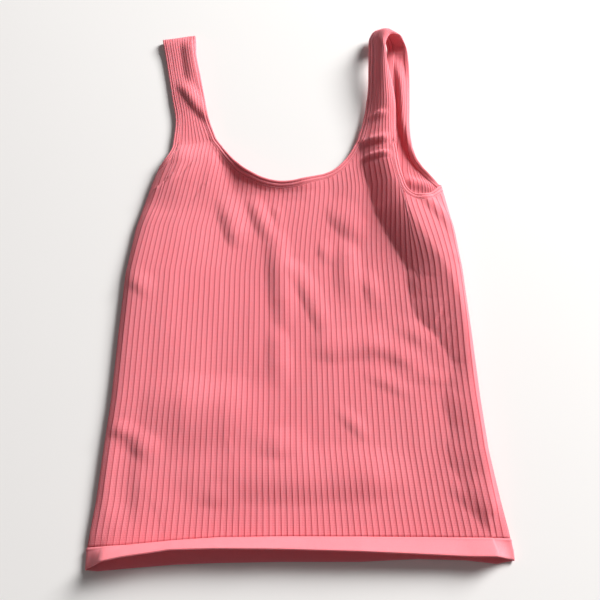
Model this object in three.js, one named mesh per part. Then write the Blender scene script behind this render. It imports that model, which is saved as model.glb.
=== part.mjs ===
// A ribbed tank top laid flat, drawn in millimetres with the floor at z = 0 and the neck towards +Y.
//
// The body is a knitted tube, pressed flat: a front and a back that meet at the two side folds, and a
// plain hem band. A binding runs round the neck, and one round each armhole. The left strap is folded
// flat. The right strap stands up in a loop, so that its back leg shows beside its front leg.
// Every piece is a closed wall. Its surface is worked out from the outline, a table of folds and a
// table of strap sections, and its thickness is added along the surface's normal.

import * as THREE from 'three';
import { mergeVertices } from 'three/addons/utils/BufferGeometryUtils.js';

// Cloth sizes.
const BODY_WALL = 1.4; // the panels' wall without its ribs
const RIB_RISE = 0.7; // how far a rib stands out of the wall
const BAND_WIDTH = 6.4; // neck and armhole bindings
const HEM_BAND = 17; // depth of the hem band
const HEM_WALL = 1.6; // knitted double
const SEAM_GAP = 0.3; // between two pieces at a seam
const RIM_EASE = 0.3; // keeps the chords of a panel's hollow rim clear of its binding
const CORNER_EASE = 0.6; // the same at the underarm, where the rim bends round the side fold
const INSET = BAND_WIDTH + SEAM_GAP + RIM_EASE; // from the garment's edge to a panel's edge

// Heights of the two layers' middle surfaces, and the side fold that joins them.
const BACK_Z = 0.8;
const FRONT_Z = 2.8;
const FOLD_Z = (BACK_Z + FRONT_Z) / 2;
const FOLD_R = (FRONT_Z - BACK_Z) / 2;
const QUARTER_FOLD = FOLD_R * Math.PI / 2;
const SIDE_U = 0.2; // a panel stops this short of the fold's outermost line

// Ribs across the front, zone by zone from the left underarm to the right underarm.
const RIBS = { leftArm: 5, leftStrap: 7, neck: 37, rightStrap: 7, rightArm: 12 };
const BACK_SPANS = { leftArm: 7, leftStrap: 4, neck: 20, rightStrap: 4, rightArm: 9 };
const RIB_CREST = 0.36; // where the crest lies between two grooves
const FRONT_ROWS = 20;
const BACK_ROWS = 12;
const STRAP_STEP = 0.6; // rows of the strap tables between two rings of the wall
const STRAIGHT_TO = 250; // above this height the ribs bend towards the edge that cuts them
const STEEP_SHARE = 0.3; // how much of a rim's rise counts when ribs are spaced along it
const SLOPE_STEP = 1.5; // over which the front's slopes are measured
const STRAP_SLOPE = { w: 0.01, row: 0.04 }; // the same on a strap

// Side lines, from the hem to the underarm.
const SIDES = [
  { y: -8, left: -161.8, right: 162.8 },
  { y: 8, left: -163.2, right: 163.2 },
  { y: 23, left: -162.6, right: 161.8 },
  { y: 45, left: -161.4, right: 158.8 },
  { y: 85, left: -161.4, right: 154.8 },
  { y: 127, left: -160.9, right: 153.8 },
  { y: 193, left: -162.9, right: 153.9 },
  { y: 250, left: -164.1, right: 153 },
  { y: 299, left: -160.3, right: 149.6 },
  { y: 347, left: -150.8, right: 143.9 },
  { y: 373, left: -144.6, right: 136 },
];

// Where the hem band meets the front, and where its own lower edge shows from above.
const HEM = [
  { x: -165, seam: 10, front: -5.8, back: -5.6 },
  { x: -155, seam: 10.3, front: -2.6, back: -6.6 },
  { x: -148, seam: 10.6, front: -0.6, back: -6 },
  { x: -133, seam: 11.5, front: 2.6, back: -4.7 },
  { x: -97, seam: 14.8, front: 7.7, back: -2 },
  { x: -65, seam: 17, front: 8.5, back: -0.8 },
  { x: -15, seam: 17.8, front: 8.1, back: 0 },
  { x: 45, seam: 17.7, front: 6.6, back: 0 },
  { x: 90, seam: 17.4, front: 4.8, back: 2 },
  { x: 127, seam: 17.1, front: 3.2, back: 1 },
  { x: 150, seam: 16.9, front: 3, back: -1.4 },
  { x: 164, seam: 16.7, front: 1.2, back: 1 },
];

// Neck edge between the straps, from left to right.
const NECK = [
  { x: -89, y: 412 },
  { x: -81, y: 397 },
  { x: -70, y: 379 },
  { x: -53, y: 362 },
  { x: -33, y: 352.8 },
  { x: -11, y: 352 },
  { x: 12, y: 359 },
  { x: 34, y: 369 },
  { x: 49, y: 386 },
  { x: 59.5, y: 405.5 },
];
const NECK_BACK_SHIFT = { x: 0.5, y: -1 }; // of the back's neck edge, which lies under it

// Armhole edges from the strap's foot to the underarm, where both meet the side fold.
const LEFT_ARMHOLE = [
  { x: -134, y: 399 },
  { x: -136.8, y: 388.5 },
  { x: -140.3, y: 380 },
  { x: -144.6, y: 373 },
];
const LEFT_ARMHOLE_BACK = [
  { x: -133, y: 399 },
  { x: -135.8, y: 388.5 },
  { x: -139.3, y: 380 },
  { x: -144.6, y: 373 },
];
const RIGHT_ARMHOLE_FRONT = [
  { x: 98.5, y: 394.5 },
  { x: 99.2, y: 374 },
  { x: 100.4, y: 360 },
  { x: 102.7, y: 347 },
  { x: 107, y: 336.5 },
  { x: 114, y: 334 },
  { x: 122, y: 335.2 },
  { x: 130.5, y: 340.2 },
  { x: 137.5, y: 346 },
  { x: 142.5, y: 351.5 },
];
const RIGHT_ARMHOLE_BACK = [
  { x: 117.5, y: 397.5 },
  { x: 121, y: 384 },
  { x: 127.5, y: 372 },
  { x: 134.5, y: 363 },
  { x: 142.5, y: 351.5 },
];

// Sections of the straps, from the front's foot over the shoulder to the back's foot. Each row gives
// the strap's left edge, its middle and its right edge as x, y, z. The feet lie on the panels.
const LEFT_STRAP = [
  { left: [-134, 399, 3], middle: [-111, 405, 4], right: [-89, 412, 3] },
  { left: [-134, 436, 3.6], middle: [-117, 439, 5], right: [-99, 441, 3.6] },
  { left: [-140.5, 468, 3.4], middle: [-123, 469, 6], right: [-105, 469, 3.4] },
  { left: [-147, 499, 3.4], middle: [-130, 499.5, 5], right: [-111.5, 499, 3.4] },
  { left: [-154, 532, 4], middle: [-136.5, 532, 6], right: [-118.5, 531, 4] },
  { left: [-158.5, 552, 5.5], middle: [-140.5, 554, 6.5], right: [-121.5, 556, 5.5] },
  { left: [-160, 557.5, 3.4], middle: [-141, 561, 3.6], right: [-122.5, 565.5, 3.4] },
  { left: [-158.8, 551, 1], middle: [-140, 554.5, 0.8], right: [-121.5, 558.5, 1] },
  { left: [-153.5, 531, 0.8], middle: [-136.5, 532, 0.8], right: [-119, 532, 0.8] },
  { left: [-147, 499, 0.8], middle: [-130, 500, 0.8], right: [-112.5, 499, 0.8] },
  { left: [-140.5, 468, 0.8], middle: [-123, 469, 0.8], right: [-106, 469, 0.8] },
  { left: [-134, 437, 0.8], middle: [-117, 439, 0.8], right: [-100, 441, 0.8] },
  { left: [-133.5, 399, 0.8], middle: [-111, 404, 0.8], right: [-90, 411, 0.8] },
];
const RIGHT_STRAP = [
  { left: [59.5, 405.5, 3], middle: [85, 401, 12], right: [98.5, 394.5, 8] },
  { left: [68, 434.5, 4.8], middle: [87.5, 431, 13], right: [100.5, 424, 11.5] },
  { left: [72.5, 458.5, 5], middle: [89.5, 453, 16.5], right: [101.5, 449, 13] },
  { left: [75.5, 481, 5.8], middle: [90, 473, 21], right: [100.5, 472, 14.5] },
  { left: [77, 507, 7.2], middle: [90.5, 496.5, 24], right: [98, 492.5, 16.5] },
  { left: [78.5, 533.5, 8.8], middle: [91.5, 520.5, 25.5], right: [94.5, 514, 19] },
  { left: [80, 552, 10], middle: [91.5, 538, 26], right: [95, 533, 21.5] },
  { left: [88, 565, 9.5], middle: [98, 552, 24.5], right: [101.5, 545.5, 23] },
  { left: [96.5, 560, 5.5], middle: [109, 552, 15], right: [113.5, 548, 18.5] },
  { left: [100.5, 548.5, 2.5], middle: [114, 543.5, 7], right: [121.5, 542, 9] },
  { left: [100.5, 529.5, 1], middle: [114, 528, 2], right: [124, 526, 3.5] },
  { left: [97, 496.5, 0.8], middle: [111.5, 495, 0.8], right: [123, 493, 1.5] },
  { left: [91, 461, 0.8], middle: [107, 459.5, 0.8], right: [120, 458, 1] },
  { left: [81, 430, 0.8], middle: [100.5, 427, 0.8], right: [117, 422, 0.8] },
  { left: [60, 404.5, 0.8], middle: [91, 400, 0.8], right: [117.5, 397.5, 0.8] },
];
const LEFT_SEAM_ROW = 7.4; // the shoulder seam, in rows of the strap table
const RIGHT_SEAM_ROW = 9.6;
const SEAM_GAP_ROWS = 0.012;

// Crests and troughs of the front. Each row is a point of a crest with its rise, and how far the
// cloth falls away to the left and right of it, seen along the crest.
const FOLDS = {
  rightFlank: [
    { x: 149, y: 30, rise: 0, left: 15, right: 8 },
    { x: 150, y: 52, rise: 4, left: 20, right: 8 },
    { x: 150, y: 80, rise: 5, left: 26, right: 7 },
    { x: 150, y: 108, rise: 5.5, left: 28, right: 7 },
    { x: 149, y: 138, rise: 6, left: 26, right: 7 },
    { x: 148, y: 160, rise: 6, left: 20, right: 7 },
    { x: 146, y: 175, rise: 6, left: 18, right: 8 },
    { x: 142, y: 199, rise: 7, left: 22, right: 10 },
    { x: 134, y: 222, rise: 8, left: 34, right: 14 },
    { x: 123.5, y: 248, rise: 10, left: 26, right: 16 },
    { x: 116, y: 263, rise: 11.5, left: 22, right: 18 },
    { x: 107, y: 290, rise: 12, left: 26, right: 18 },
    { x: 98.5, y: 308, rise: 12, left: 27, right: 18 },
    { x: 94, y: 328, rise: 12, left: 27, right: 22 },
    { x: 92, y: 350, rise: 11.5, left: 28, right: 20 },
    { x: 90, y: 372, rise: 10.5, left: 28, right: 18 },
    { x: 88, y: 410, rise: 9, left: 28, right: 20 },
  ],
  leftFlank: [
    { x: -154, y: 20, rise: 2, left: 8, right: 60 },
    { x: -153, y: 60, rise: 4, left: 9, right: 80 },
    { x: -152, y: 150, rise: 4.5, left: 9, right: 90 },
    { x: -154, y: 250, rise: 5, left: 9, right: 90 },
    { x: -148, y: 310, rise: 4.5, left: 9, right: 80 },
    { x: -140, y: 350, rise: 3.5, left: 8, right: 50 },
    { x: -136, y: 368, rise: 1.5, left: 7, right: 30 },
  ],
  underarm: [
    { x: 154.6, y: 276, rise: 0, left: 10, right: 10 },
    { x: 147, y: 292, rise: 3, left: 10, right: 10 },
    { x: 139, y: 306, rise: 4.5, left: 10, right: 10 },
    { x: 128.5, y: 320.5, rise: 4.5, left: 10, right: 10 },
    { x: 119, y: 331, rise: 3.5, left: 9, right: 9 },
    { x: 111, y: 341, rise: 1, left: 7, right: 7 },
  ],
  neckEdge: [
    { x: 46, y: 374, rise: 0.5, left: 14, right: 12 },
    { x: 36, y: 371, rise: 2, left: 16, right: 12 },
    { x: 25, y: 364, rise: 2.5, left: 18, right: 12 },
    { x: 0, y: 355, rise: 4.5, left: 20, right: 12 },
    { x: -25, y: 352.5, rise: 5.5, left: 17, right: 12 },
    { x: -48, y: 359.5, rise: 5.5, left: 15, right: 12 },
    { x: -61, y: 370, rise: 5, left: 12, right: 12 },
    { x: -75, y: 384, rise: 4, left: 10, right: 10 },
    { x: -84, y: 400, rise: 1.5, left: 8, right: 8 },
  ],
  leftFoot: [
    { x: -74, y: 374, rise: 2.5, left: 7, right: 40 },
    { x: -98, y: 371, rise: 5, left: 7, right: 45 },
    { x: -123, y: 371, rise: 5, left: 7, right: 45 },
    { x: -140, y: 371, rise: 2, left: 7, right: 30 },
  ],
  centreStreak: [
    { x: 25, y: 183, rise: 0, left: 7, right: 7 },
    { x: 16, y: 206, rise: 2, left: 7, right: 7 },
    { x: 6, y: 231, rise: 2.2, left: 7, right: 8 },
    { x: -4, y: 252, rise: 1.5, left: 7, right: 8 },
    { x: -10, y: 265, rise: 0, left: 6, right: 7 },
  ],
  centreHollow: [
    { x: -15, y: 221, rise: 0, left: 12, right: 9 },
    { x: -16, y: 242, rise: 2.5, left: 13, right: 9 },
    { x: -18, y: 261, rise: 2.5, left: 12, right: 9 },
    { x: -21, y: 274, rise: 0, left: 10, right: 9 },
  ],
  bustStreak: [
    { x: 60, y: 290, rise: 0, left: 5, right: 10 },
    { x: 49, y: 293, rise: 2.2, left: 6, right: 11 },
    { x: 39, y: 306, rise: 1.5, left: 6, right: 11 },
    { x: 30, y: 326, rise: 0, left: 6, right: 9 },
  ],
  leftBust: [
    { x: -60, y: 282, rise: 0, left: 7, right: 12 },
    { x: -66, y: 299, rise: 2.5, left: 7, right: 14 },
    { x: -75, y: 318, rise: 2, left: 7, right: 14 },
    { x: -81, y: 332, rise: 0, left: 7, right: 12 },
  ],
  cornerRidge: [
    { x: 156, y: 21, rise: 0, left: 7, right: 11 },
    { x: 145, y: 39, rise: 4, left: 7, right: 12 },
    { x: 133, y: 50, rise: 3, left: 7, right: 12 },
    { x: 124, y: 58, rise: 0, left: 7, right: 11 },
  ],
  lowRidge: [
    { x: 78, y: 57, rise: 0, left: 12, right: 22 },
    { x: 60, y: 57, rise: 3, left: 13, right: 24 },
    { x: 24, y: 57, rise: 2.6, left: 13, right: 24 },
    { x: -8, y: 54, rise: 2.6, left: 13, right: 24 },
    { x: -36, y: 56, rise: 2, left: 13, right: 22 },
    { x: -52, y: 60, rise: 0, left: 12, right: 20 },
  ],
  leftWaist: [
    { x: -49, y: 116, rise: 0, left: 16, right: 18 },
    { x: -72, y: 119, rise: 1.8, left: 16, right: 18 },
    { x: -97, y: 119, rise: 1.8, left: 16, right: 18 },
    { x: -118, y: 116, rise: 0, left: 16, right: 18 },
  ],
  rightPucker: [
    { x: 154, y: 151, rise: -3, left: 6, right: 10 },
    { x: 140, y: 152, rise: -2.5, left: 6, right: 10 },
    { x: 121, y: 156, rise: 0, left: 6, right: 8 },
  ],
  lowerPucker: [
    { x: 152, y: 102, rise: -2.5, left: 7, right: 9 },
    { x: 141, y: 102, rise: -2, left: 7, right: 9 },
    { x: 125, y: 105, rise: 0, left: 7, right: 8 },
  ],
  cornerPucker: [
    { x: 152, y: 54, rise: -2.5, left: 6, right: 9 },
    { x: 142, y: 54, rise: -2, left: 6, right: 9 },
    { x: 129, y: 57, rise: 0, left: 6, right: 8 },
  ],
};
const SIDE_FADE = 6; // folds die out over this width next to the side folds

// Section of a binding: distance from the garment's edge, and height out of the middle surface. The
// two grooves are its stitch lines.
const BINDING_SECTION = [
  { across: 0, out: 0 },
  { across: 0.4, out: 0.8 },
  { across: 1.6, out: 1.1 },
  { across: 3, out: 0.75 },
  { across: 4.4, out: 1.1 },
  { across: 5.8, out: 0.8 },
  { across: BAND_WIDTH, out: 0 },
  { across: 5.8, out: -0.7 },
  { across: 0.6, out: -0.7 },
];
const BINDING_STEP = 11; // along the neck
const UNDERARM_STEP = 5; // along the armholes' tighter bend
const UNDERARM_MARGIN = 6; // from the strap's foot to the first of them
const FOLD_NEAR = 3 * FOLD_R; // within this the stations turn closely round the side fold
const NECK_STEPS = 90; // places on the neck's rim line
const NECK_TRIM = 4; // places left out at each end, next to the straps
const ARMHOLE_STEPS = 160; // places on an armhole's rim line
const FOOT_CLEAR = 2; // an armhole's rim starts this far below the strap's foot
const HEM_STATIONS = 44; // across one layer of the hem band
const HEM_DEPTHS = [0, 0.35, 0.7, 1]; // from the seam to the lower edge
const HEM_TURNS = [1, 0.5, 0, -0.5, -1]; // round a side fold, in quarter turns
const CORNER_CLOSE = 16; // the mouth closes over this width at each corner

const COLOURS = {
  cloth: { color: 0xe8808a, roughness: 0.9, metalness: 0 },
  binding: { color: 0xea858e, roughness: 0.88, metalness: 0 },
  plain: { color: 0xee8b92, roughness: 0.86, metalness: 0 },
};

function smooth(t) {
  const c = THREE.MathUtils.clamp(t, 0, 1);
  return c * c * (3 - 2 * c);
}

// Reads a column of a table at a place between its rows.
function lookUp(table, by, at, column) {
  let i = 1;
  while (i < table.length - 1 && table[i][by] < at) {
    i += 1;
  }
  const [a, b] = [table[i - 1], table[i]];
  const t = THREE.MathUtils.clamp((at - a[by]) / (b[by] - a[by]), 0, 1);
  return a[column] + (b[column] - a[column]) * t;
}

// Height that one fold adds at a point: that of the nearest place on its crest, times a cosine bell.
function foldRise(crest, x, y) {
  let best = 0;
  let nearest = Infinity;
  for (let i = 1; i < crest.length; i += 1) {
    const [a, b] = [crest[i - 1], crest[i]];
    const [dx, dy] = [b.x - a.x, b.y - a.y];
    const t = THREE.MathUtils.clamp(((x - a.x) * dx + (y - a.y) * dy) / (dx * dx + dy * dy), 0, 1);
    const [px, py] = [x - a.x - dx * t, y - a.y - dy * t];
    const distance = Math.hypot(px, py);
    const side = dx * py - dy * px > 0 ? 'left' : 'right';
    const reach = a[side] + (b[side] - a[side]) * t;
    if (distance / reach < nearest) {
      nearest = distance / reach;
      best = a.rise + (b.rise - a.rise) * t;
    }
  }
  return nearest < 1 ? best * (1 + Math.cos(Math.PI * nearest)) / 2 : 0;
}

// Height of the front's middle surface over the floor.
function frontHeight(x, y) {
  let rise = 0;
  for (const crest of Object.values(FOLDS)) {
    rise += foldRise(crest, x, y);
  }
  const toSide = Math.min(x - lookUp(SIDES, 'y', y, 'left'), lookUp(SIDES, 'y', y, 'right') - x);
  return FRONT_Z + Math.max(rise, 0) * smooth(toSide / SIDE_FADE);
}

// A surface point is a place and the outward normal there.
function point(position, normal) {
  return { position, normal };
}

function frontPoint(x, y) {
  const e = SLOPE_STEP;
  const z = frontHeight(x, y);
  const slopeX = (frontHeight(x + e, y) - frontHeight(x - e, y)) / (2 * e);
  const slopeY = (frontHeight(x, y + e) - frontHeight(x, y - e)) / (2 * e);
  return point(new THREE.Vector3(x, y, z), new THREE.Vector3(-slopeX, -slopeY, 1).normalize());
}

function backPoint(x, y) {
  return point(new THREE.Vector3(x, y, BACK_Z), new THREE.Vector3(0, 0, -1));
}

// Point of the tube near a side, u from the fold's outermost line: front below zero, back above.
function tubePoint(side, u, y) {
  const edge = Math.abs(lookUp(SIDES, 'y', y, side < 0 ? 'left' : 'right')) - FOLD_R;
  if (Math.abs(u) > QUARTER_FOLD) {
    const x = side * (edge - Math.abs(u) + QUARTER_FOLD);
    return u < 0 ? frontPoint(x, y) : backPoint(x, y);
  }
  const turn = u / FOLD_R;
  const normal = new THREE.Vector3(side * Math.cos(turn), 0, -Math.sin(turn));
  const position = new THREE.Vector3(side * edge, y, FOLD_Z).addScaledVector(normal, FOLD_R);
  return point(position, normal);
}

// u of a front (layer -1) or back (layer 1) point near a side.
function unroll(side, x, y, layer) {
  const edge = Math.abs(lookUp(SIDES, 'y', y, side < 0 ? 'left' : 'right')) - FOLD_R;
  return layer * Math.max(edge - side * x + QUARTER_FOLD, 0);
}

// The strap's surface: w runs from its left edge to its right edge, row along its table.
function strapSurface(table) {
  const last = table.length - 1;
  const strand = (key) => new THREE.CatmullRomCurve3(table.map((r) => new THREE.Vector3(...r[key])));
  const strands = [strand('left'), strand('middle'), strand('right')];
  const place = (w, row) => {
    const [a, m, b] = strands.map((curve) => curve.getPoint(THREE.MathUtils.clamp(row / last, 0, 1)));
    return a.multiplyScalar((1 - w) * (1 - 2 * w))
      .addScaledVector(m, 4 * w * (1 - w))
      .addScaledVector(b, w * (2 * w - 1));
  };
  const at = (w, row) => {
    const { w: e, row: f } = STRAP_SLOPE;
    const across = place(w + e, row).sub(place(w - e, row));
    const along = place(w, Math.min(row + f, last)).sub(place(w, Math.max(row - f, 0)));
    return point(place(w, row), across.cross(along).normalize());
  };
  const width = (row) => {
    const steps = 8;
    let sum = 0;
    for (let i = 0; i < steps; i += 1) {
      sum += place(i / steps, row).distanceTo(place((i + 1) / steps, row));
    }
    return sum;
  };
  return { at, last, inset: (distance, row) => distance / width(row) };
}

// A strap's foot rests on the front, so its heights there are the front's own.
function seated(table) {
  const [foot, ...rest] = table;
  const seat = ([x, y]) => [x, y, frontHeight(x, y)];
  return [{ left: seat(foot.left), middle: seat(foot.middle), right: seat(foot.right) }, ...rest];
}

const leftStrap = strapSurface(seated(LEFT_STRAP));
const rightStrap = strapSurface(seated(RIGHT_STRAP));

function planCurve(rows) {
  return new THREE.CatmullRomCurve3(rows.map((r) => new THREE.Vector3(r.x, r.y, 0)));
}

// Places along a plan curve, moved square to it by a distance to its right.
function insetLine(curve, distance, steps) {
  const line = [];
  for (let i = 0; i <= steps; i += 1) {
    const p = curve.getPointAt(i / steps);
    const t = curve.getTangentAt(i / steps);
    line.push(new THREE.Vector3(p.x + t.y * distance, p.y - t.x * distance, 0));
  }
  return line;
}

// Resamples a line into equal steps, a rise counting only in part.
function spaced(line, count, steepShare) {
  const lengths = [0];
  for (let i = 1; i < line.length; i += 1) {
    const step = line[i].clone().sub(line[i - 1]);
    lengths.push(lengths[i - 1] + Math.hypot(step.x, step.y * steepShare));
  }
  const out = [];
  for (let k = 0; k <= count; k += 1) {
    const want = lengths.at(-1) * k / count;
    let i = 1;
    while (i < line.length - 1 && lengths[i] < want) {
      i += 1;
    }
    const t = (want - lengths[i - 1]) / (lengths[i] - lengths[i - 1]);
    out.push(line[i - 1].clone().lerp(line[i], t));
  }
  return out;
}

// Armhole edge on the unrolled tube, from the front strap's foot under the arm to the back strap's.
function armholeCurve(side, front, back) {
  const rows = [
    ...front.map((r) => ({ x: unroll(side, r.x, r.y, -1), y: r.y })),
    ...back.slice(0, -1).reverse().map((r) => ({ x: unroll(side, r.x, r.y, 1), y: r.y })),
  ];
  return planCurve(rows);
}

const armholes = {
  left: armholeCurve(-1, LEFT_ARMHOLE, LEFT_ARMHOLE_BACK),
  right: armholeCurve(1, RIGHT_ARMHOLE_FRONT, RIGHT_ARMHOLE_BACK),
};
const neckFront = planCurve(NECK);
const neckBack = planCurve(NECK.map((r) => ({ x: r.x + NECK_BACK_SHIFT.x, y: r.y + NECK_BACK_SHIFT.y })));

// Part of an inset armhole line that lies on one layer, as x and y from the strap's foot outwards.
function armRim(side, layer) {
  const curve = side < 0 ? armholes.left : armholes.right;
  let line = insetLine(curve, INSET, ARMHOLE_STEPS).filter((p) => layer * p.x > SIDE_U);
  if (layer > 0) {
    line = line.reverse();
  }
  const rim = line.map((p) => tubePoint(side, p.x, p.y).position.setZ(0));
  rim.at(-1).y -= CORNER_EASE;
  return rim;
}

// Upper rim of a panel: places from the left underarm to the right one, one for each rib edge.
function upperRim(layer, ribs) {
  const row = layer < 0 ? 0 : leftStrap.last;
  const rightRow = layer < 0 ? 0 : rightStrap.last;
  const foot = (strap, at, count) => {
    const margin = strap.inset(INSET, at);
    const places = [];
    for (let k = 0; k <= count; k += 1) {
      places.push(strap.at(margin + (1 - 2 * margin) * k / count, at).position.setZ(0));
    }
    return places;
  };
  const left = foot(leftStrap, row, ribs.leftStrap);
  const right = foot(rightStrap, rightRow, ribs.rightStrap);
  const neck = insetLine(layer < 0 ? neckFront : neckBack, INSET, NECK_STEPS)
    .slice(NECK_TRIM, -NECK_TRIM);
  const below = (rim, end) => [end, ...rim.filter((p) => p.y < end.y - FOOT_CLEAR)];
  const leftArm = below(armRim(-1, layer), left[0]).reverse();
  const rightArm = below(armRim(1, layer), right.at(-1));
  return [
    ...spaced(leftArm, ribs.leftArm, 1).slice(0, -1),
    ...left.slice(0, -1),
    ...spaced([left.at(-1), ...neck, right[0]], ribs.neck, STEEP_SHARE).slice(0, -1),
    ...right.slice(0, -1),
    ...spaced(rightArm, ribs.rightArm, STEEP_SHARE),
  ];
}

// Rib lines of a panel: for each column, its places from the hem seam to the upper rim.
function ribLines(rim, rows, shares) {
  const count = rim.length - 1;
  return shares.map((share) => {
    const k = Math.min(Math.floor(share * count), count - 1);
    const top = rim[k].clone().lerp(rim[k + 1], share * count - k);
    const straight = (y) => THREE.MathUtils.lerp(
      lookUp(SIDES, 'y', y, 'left') + FOLD_R, lookUp(SIDES, 'y', y, 'right') - FOLD_R, share);
    const bottom = lookUp(HEM, 'x', straight(HEM_BAND), 'seam') + SEAM_GAP;
    const line = [];
    for (let j = 0; j <= rows; j += 1) {
      const y = THREE.MathUtils.lerp(bottom, top.y, j / rows);
      const bend = smooth((y - STRAIGHT_TO) / (top.y - STRAIGHT_TO));
      line.push(new THREE.Vector2(straight(y) + (top.x - straight(top.y)) * bend, y));
    }
    return line;
  });
}

// Triangles are collected as a flat list of corners.
function quad(list, a, b, c, d) {
  list.push(a, b, c, a, c, d);
}

function addGrid(list, grid, flip) {
  for (let i = 1; i < grid.length; i += 1) {
    for (let j = 1; j < grid[i].length; j += 1) {
      const [a, b, c, d] = [grid[i - 1][j - 1], grid[i][j - 1], grid[i][j], grid[i - 1][j]];
      if (flip) {
        quad(list, a, d, c, b);
      } else {
        quad(list, a, b, c, d);
      }
    }
  }
}

// Joins two rim lines with a strip, the first having a whole number of steps for each of the second.
function addRim(list, fine, coarse, flip) {
  const ratio = (fine.length - 1) / (coarse.length - 1);
  const push = (a, b, c) => list.push(...(flip ? [a, c, b] : [a, b, c]));
  for (let j = 1; j < coarse.length; j += 1) {
    for (let i = (j - 1) * ratio; i < j * ratio; i += 1) {
      push(fine[i], coarse[j - 1], fine[i + 1]);
    }
    push(fine[j * ratio], coarse[j - 1], coarse[j]);
  }
}

function solid(name, corners, look) {
  const flat = new Float32Array(corners.length * 3);
  corners.forEach((p, i) => p.toArray(flat, i * 3));
  let geometry = new THREE.BufferGeometry();
  geometry.setAttribute('position', new THREE.BufferAttribute(flat, 3));
  geometry = mergeVertices(geometry, 1e-3);
  const index = geometry.index.array;
  const kept = [];
  for (let i = 0; i < index.length; i += 3) {
    const [a, b, c] = [index[i], index[i + 1], index[i + 2]];
    if (a !== b && b !== c && c !== a) {
      kept.push(a, b, c);
    }
  }
  geometry.setIndex(kept);
  const mesh = new THREE.Mesh(geometry, new THREE.MeshStandardMaterial(look));
  mesh.name = name;
  return mesh;
}

// Moves a surface point out along its normal, and never below the floor.
function raised(p, distance) {
  const moved = p.position.clone().addScaledVector(p.normal, distance);
  moved.z = Math.max(moved.z, 0);
  return moved;
}

// The shares of the width at which a ribbed wall has its columns: a groove, then a crest.
function ribShares(count) {
  const shares = [];
  for (let k = 0; k < count; k += 1) {
    shares.push(k / count, (k + RIB_CREST) / count);
  }
  return [...shares, 1];
}

function evenShares(count) {
  return Array.from({ length: count + 1 }, (_, k) => k / count);
}

// A panel's wall: the body block, and a strap block standing on each strap foot of its upper rim.
function panel(name, layer) {
  const front = layer < 0;
  const ribs = front ? RIBS : BACK_SPANS;
  const total = Object.values(ribs).reduce((sum, n) => sum + n);
  const rim = upperRim(layer, ribs);
  const rows = front ? FRONT_ROWS : BACK_ROWS;
  const perRib = front ? 2 : 1;
  const outerShares = front ? ribShares(total) : evenShares(total);
  const innerShares = evenShares(total);
  const wall = (shares, sideOut, ribbed) => ribLines(rim, rows, shares).map((line, i) => {
    const atSide = i === 0 || i === shares.length - 1;
    const rise = ribbed && i % perRib === 1 ? RIB_RISE : 0;
    return line.map((p) => {
      const side = i === 0 ? -1 : 1;
      const spot = atSide ? tubePoint(side, layer * SIDE_U, p.y) : undefined;
      const middle = spot ?? (front ? frontPoint(p.x, p.y) : backPoint(p.x, p.y));
      return raised(middle, sideOut * BODY_WALL / 2 + rise);
    });
  });
  const outer = wall(outerShares, 1, front);
  const inner = wall(innerShares, -1, false);
  const list = [];
  addGrid(list, outer, !front);
  addGrid(list, inner, front);
  addRim(list, outer.map((c) => c[0]), inner.map((c) => c[0]), !front);
  addRim(list, outer[0], inner[0], front);
  addRim(list, outer.at(-1), inner.at(-1), !front);
  const zones = [
    { count: ribs.leftArm },
    { count: ribs.leftStrap, strap: leftStrap, seam: LEFT_SEAM_ROW },
    { count: ribs.neck },
    { count: ribs.rightStrap, strap: rightStrap, seam: RIGHT_SEAM_ROW },
    { count: ribs.rightArm },
  ];
  let from = 0;
  for (const { count, strap, seam } of zones) {
    const outerTop = outer.slice(from * perRib, (from + count) * perRib + 1).map((c) => c.at(-1));
    const innerTop = inner.slice(from, from + count + 1).map((c) => c.at(-1));
    if (strap) {
      addStrap(list, { strap, seam, front, count, perRib, outerTop, innerTop });
    } else {
      addRim(list, outerTop, innerTop, front);
    }
    from += count;
  }
  return solid(name, list, COLOURS.cloth);
}

// A strap's wall, from the panel's rim to the shoulder seam.
function addStrap(list, { strap, seam, front, count, perRib, outerTop, innerTop }) {
  const start = front ? 0 : strap.last;
  const end = front ? seam : seam + SEAM_GAP_ROWS;
  const steps = Math.round(Math.abs(end - start) / STRAP_STEP);
  const column = (share, foot, distance) => {
    const line = [foot];
    for (let j = 1; j <= steps; j += 1) {
      const row = start + (end - start) * j / steps;
      const margin = strap.inset(INSET, row);
      line.push(raised(strap.at(margin + (1 - 2 * margin) * share, row), distance));
    }
    return line;
  };
  const outerShares = front ? ribShares(count) : evenShares(count);
  const outer = outerShares.map((share, i) => column(
    share, outerTop[i], BODY_WALL / 2 + (front && i % perRib === 1 ? RIB_RISE : 0)));
  const inner = evenShares(count).map((share, i) => column(share, innerTop[i], -BODY_WALL / 2));
  addGrid(list, outer, !front);
  addGrid(list, inner, front);
  addRim(list, outer.map((c) => c.at(-1)), inner.map((c) => c.at(-1)), front);
  addRim(list, outer[0], inner[0], front);
  addRim(list, outer.at(-1), inner.at(-1), !front);
}

// A ring of sections: each station gives the surface point at a distance from the garment's edge.
function ring(name, stations, look) {
  const sections = stations.map((at) => BINDING_SECTION.map((s) => raised(at(s.across), s.out)));
  const list = [];
  const size = BINDING_SECTION.length;
  sections.forEach((section, i) => {
    const next = sections[(i + 1) % sections.length];
    for (let k = 0; k < size; k += 1) {
      const after = (k + 1) % size;
      quad(list, section[k], section[after], next[after], next[k]);
    }
  });
  return solid(name, list, look);
}

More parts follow.
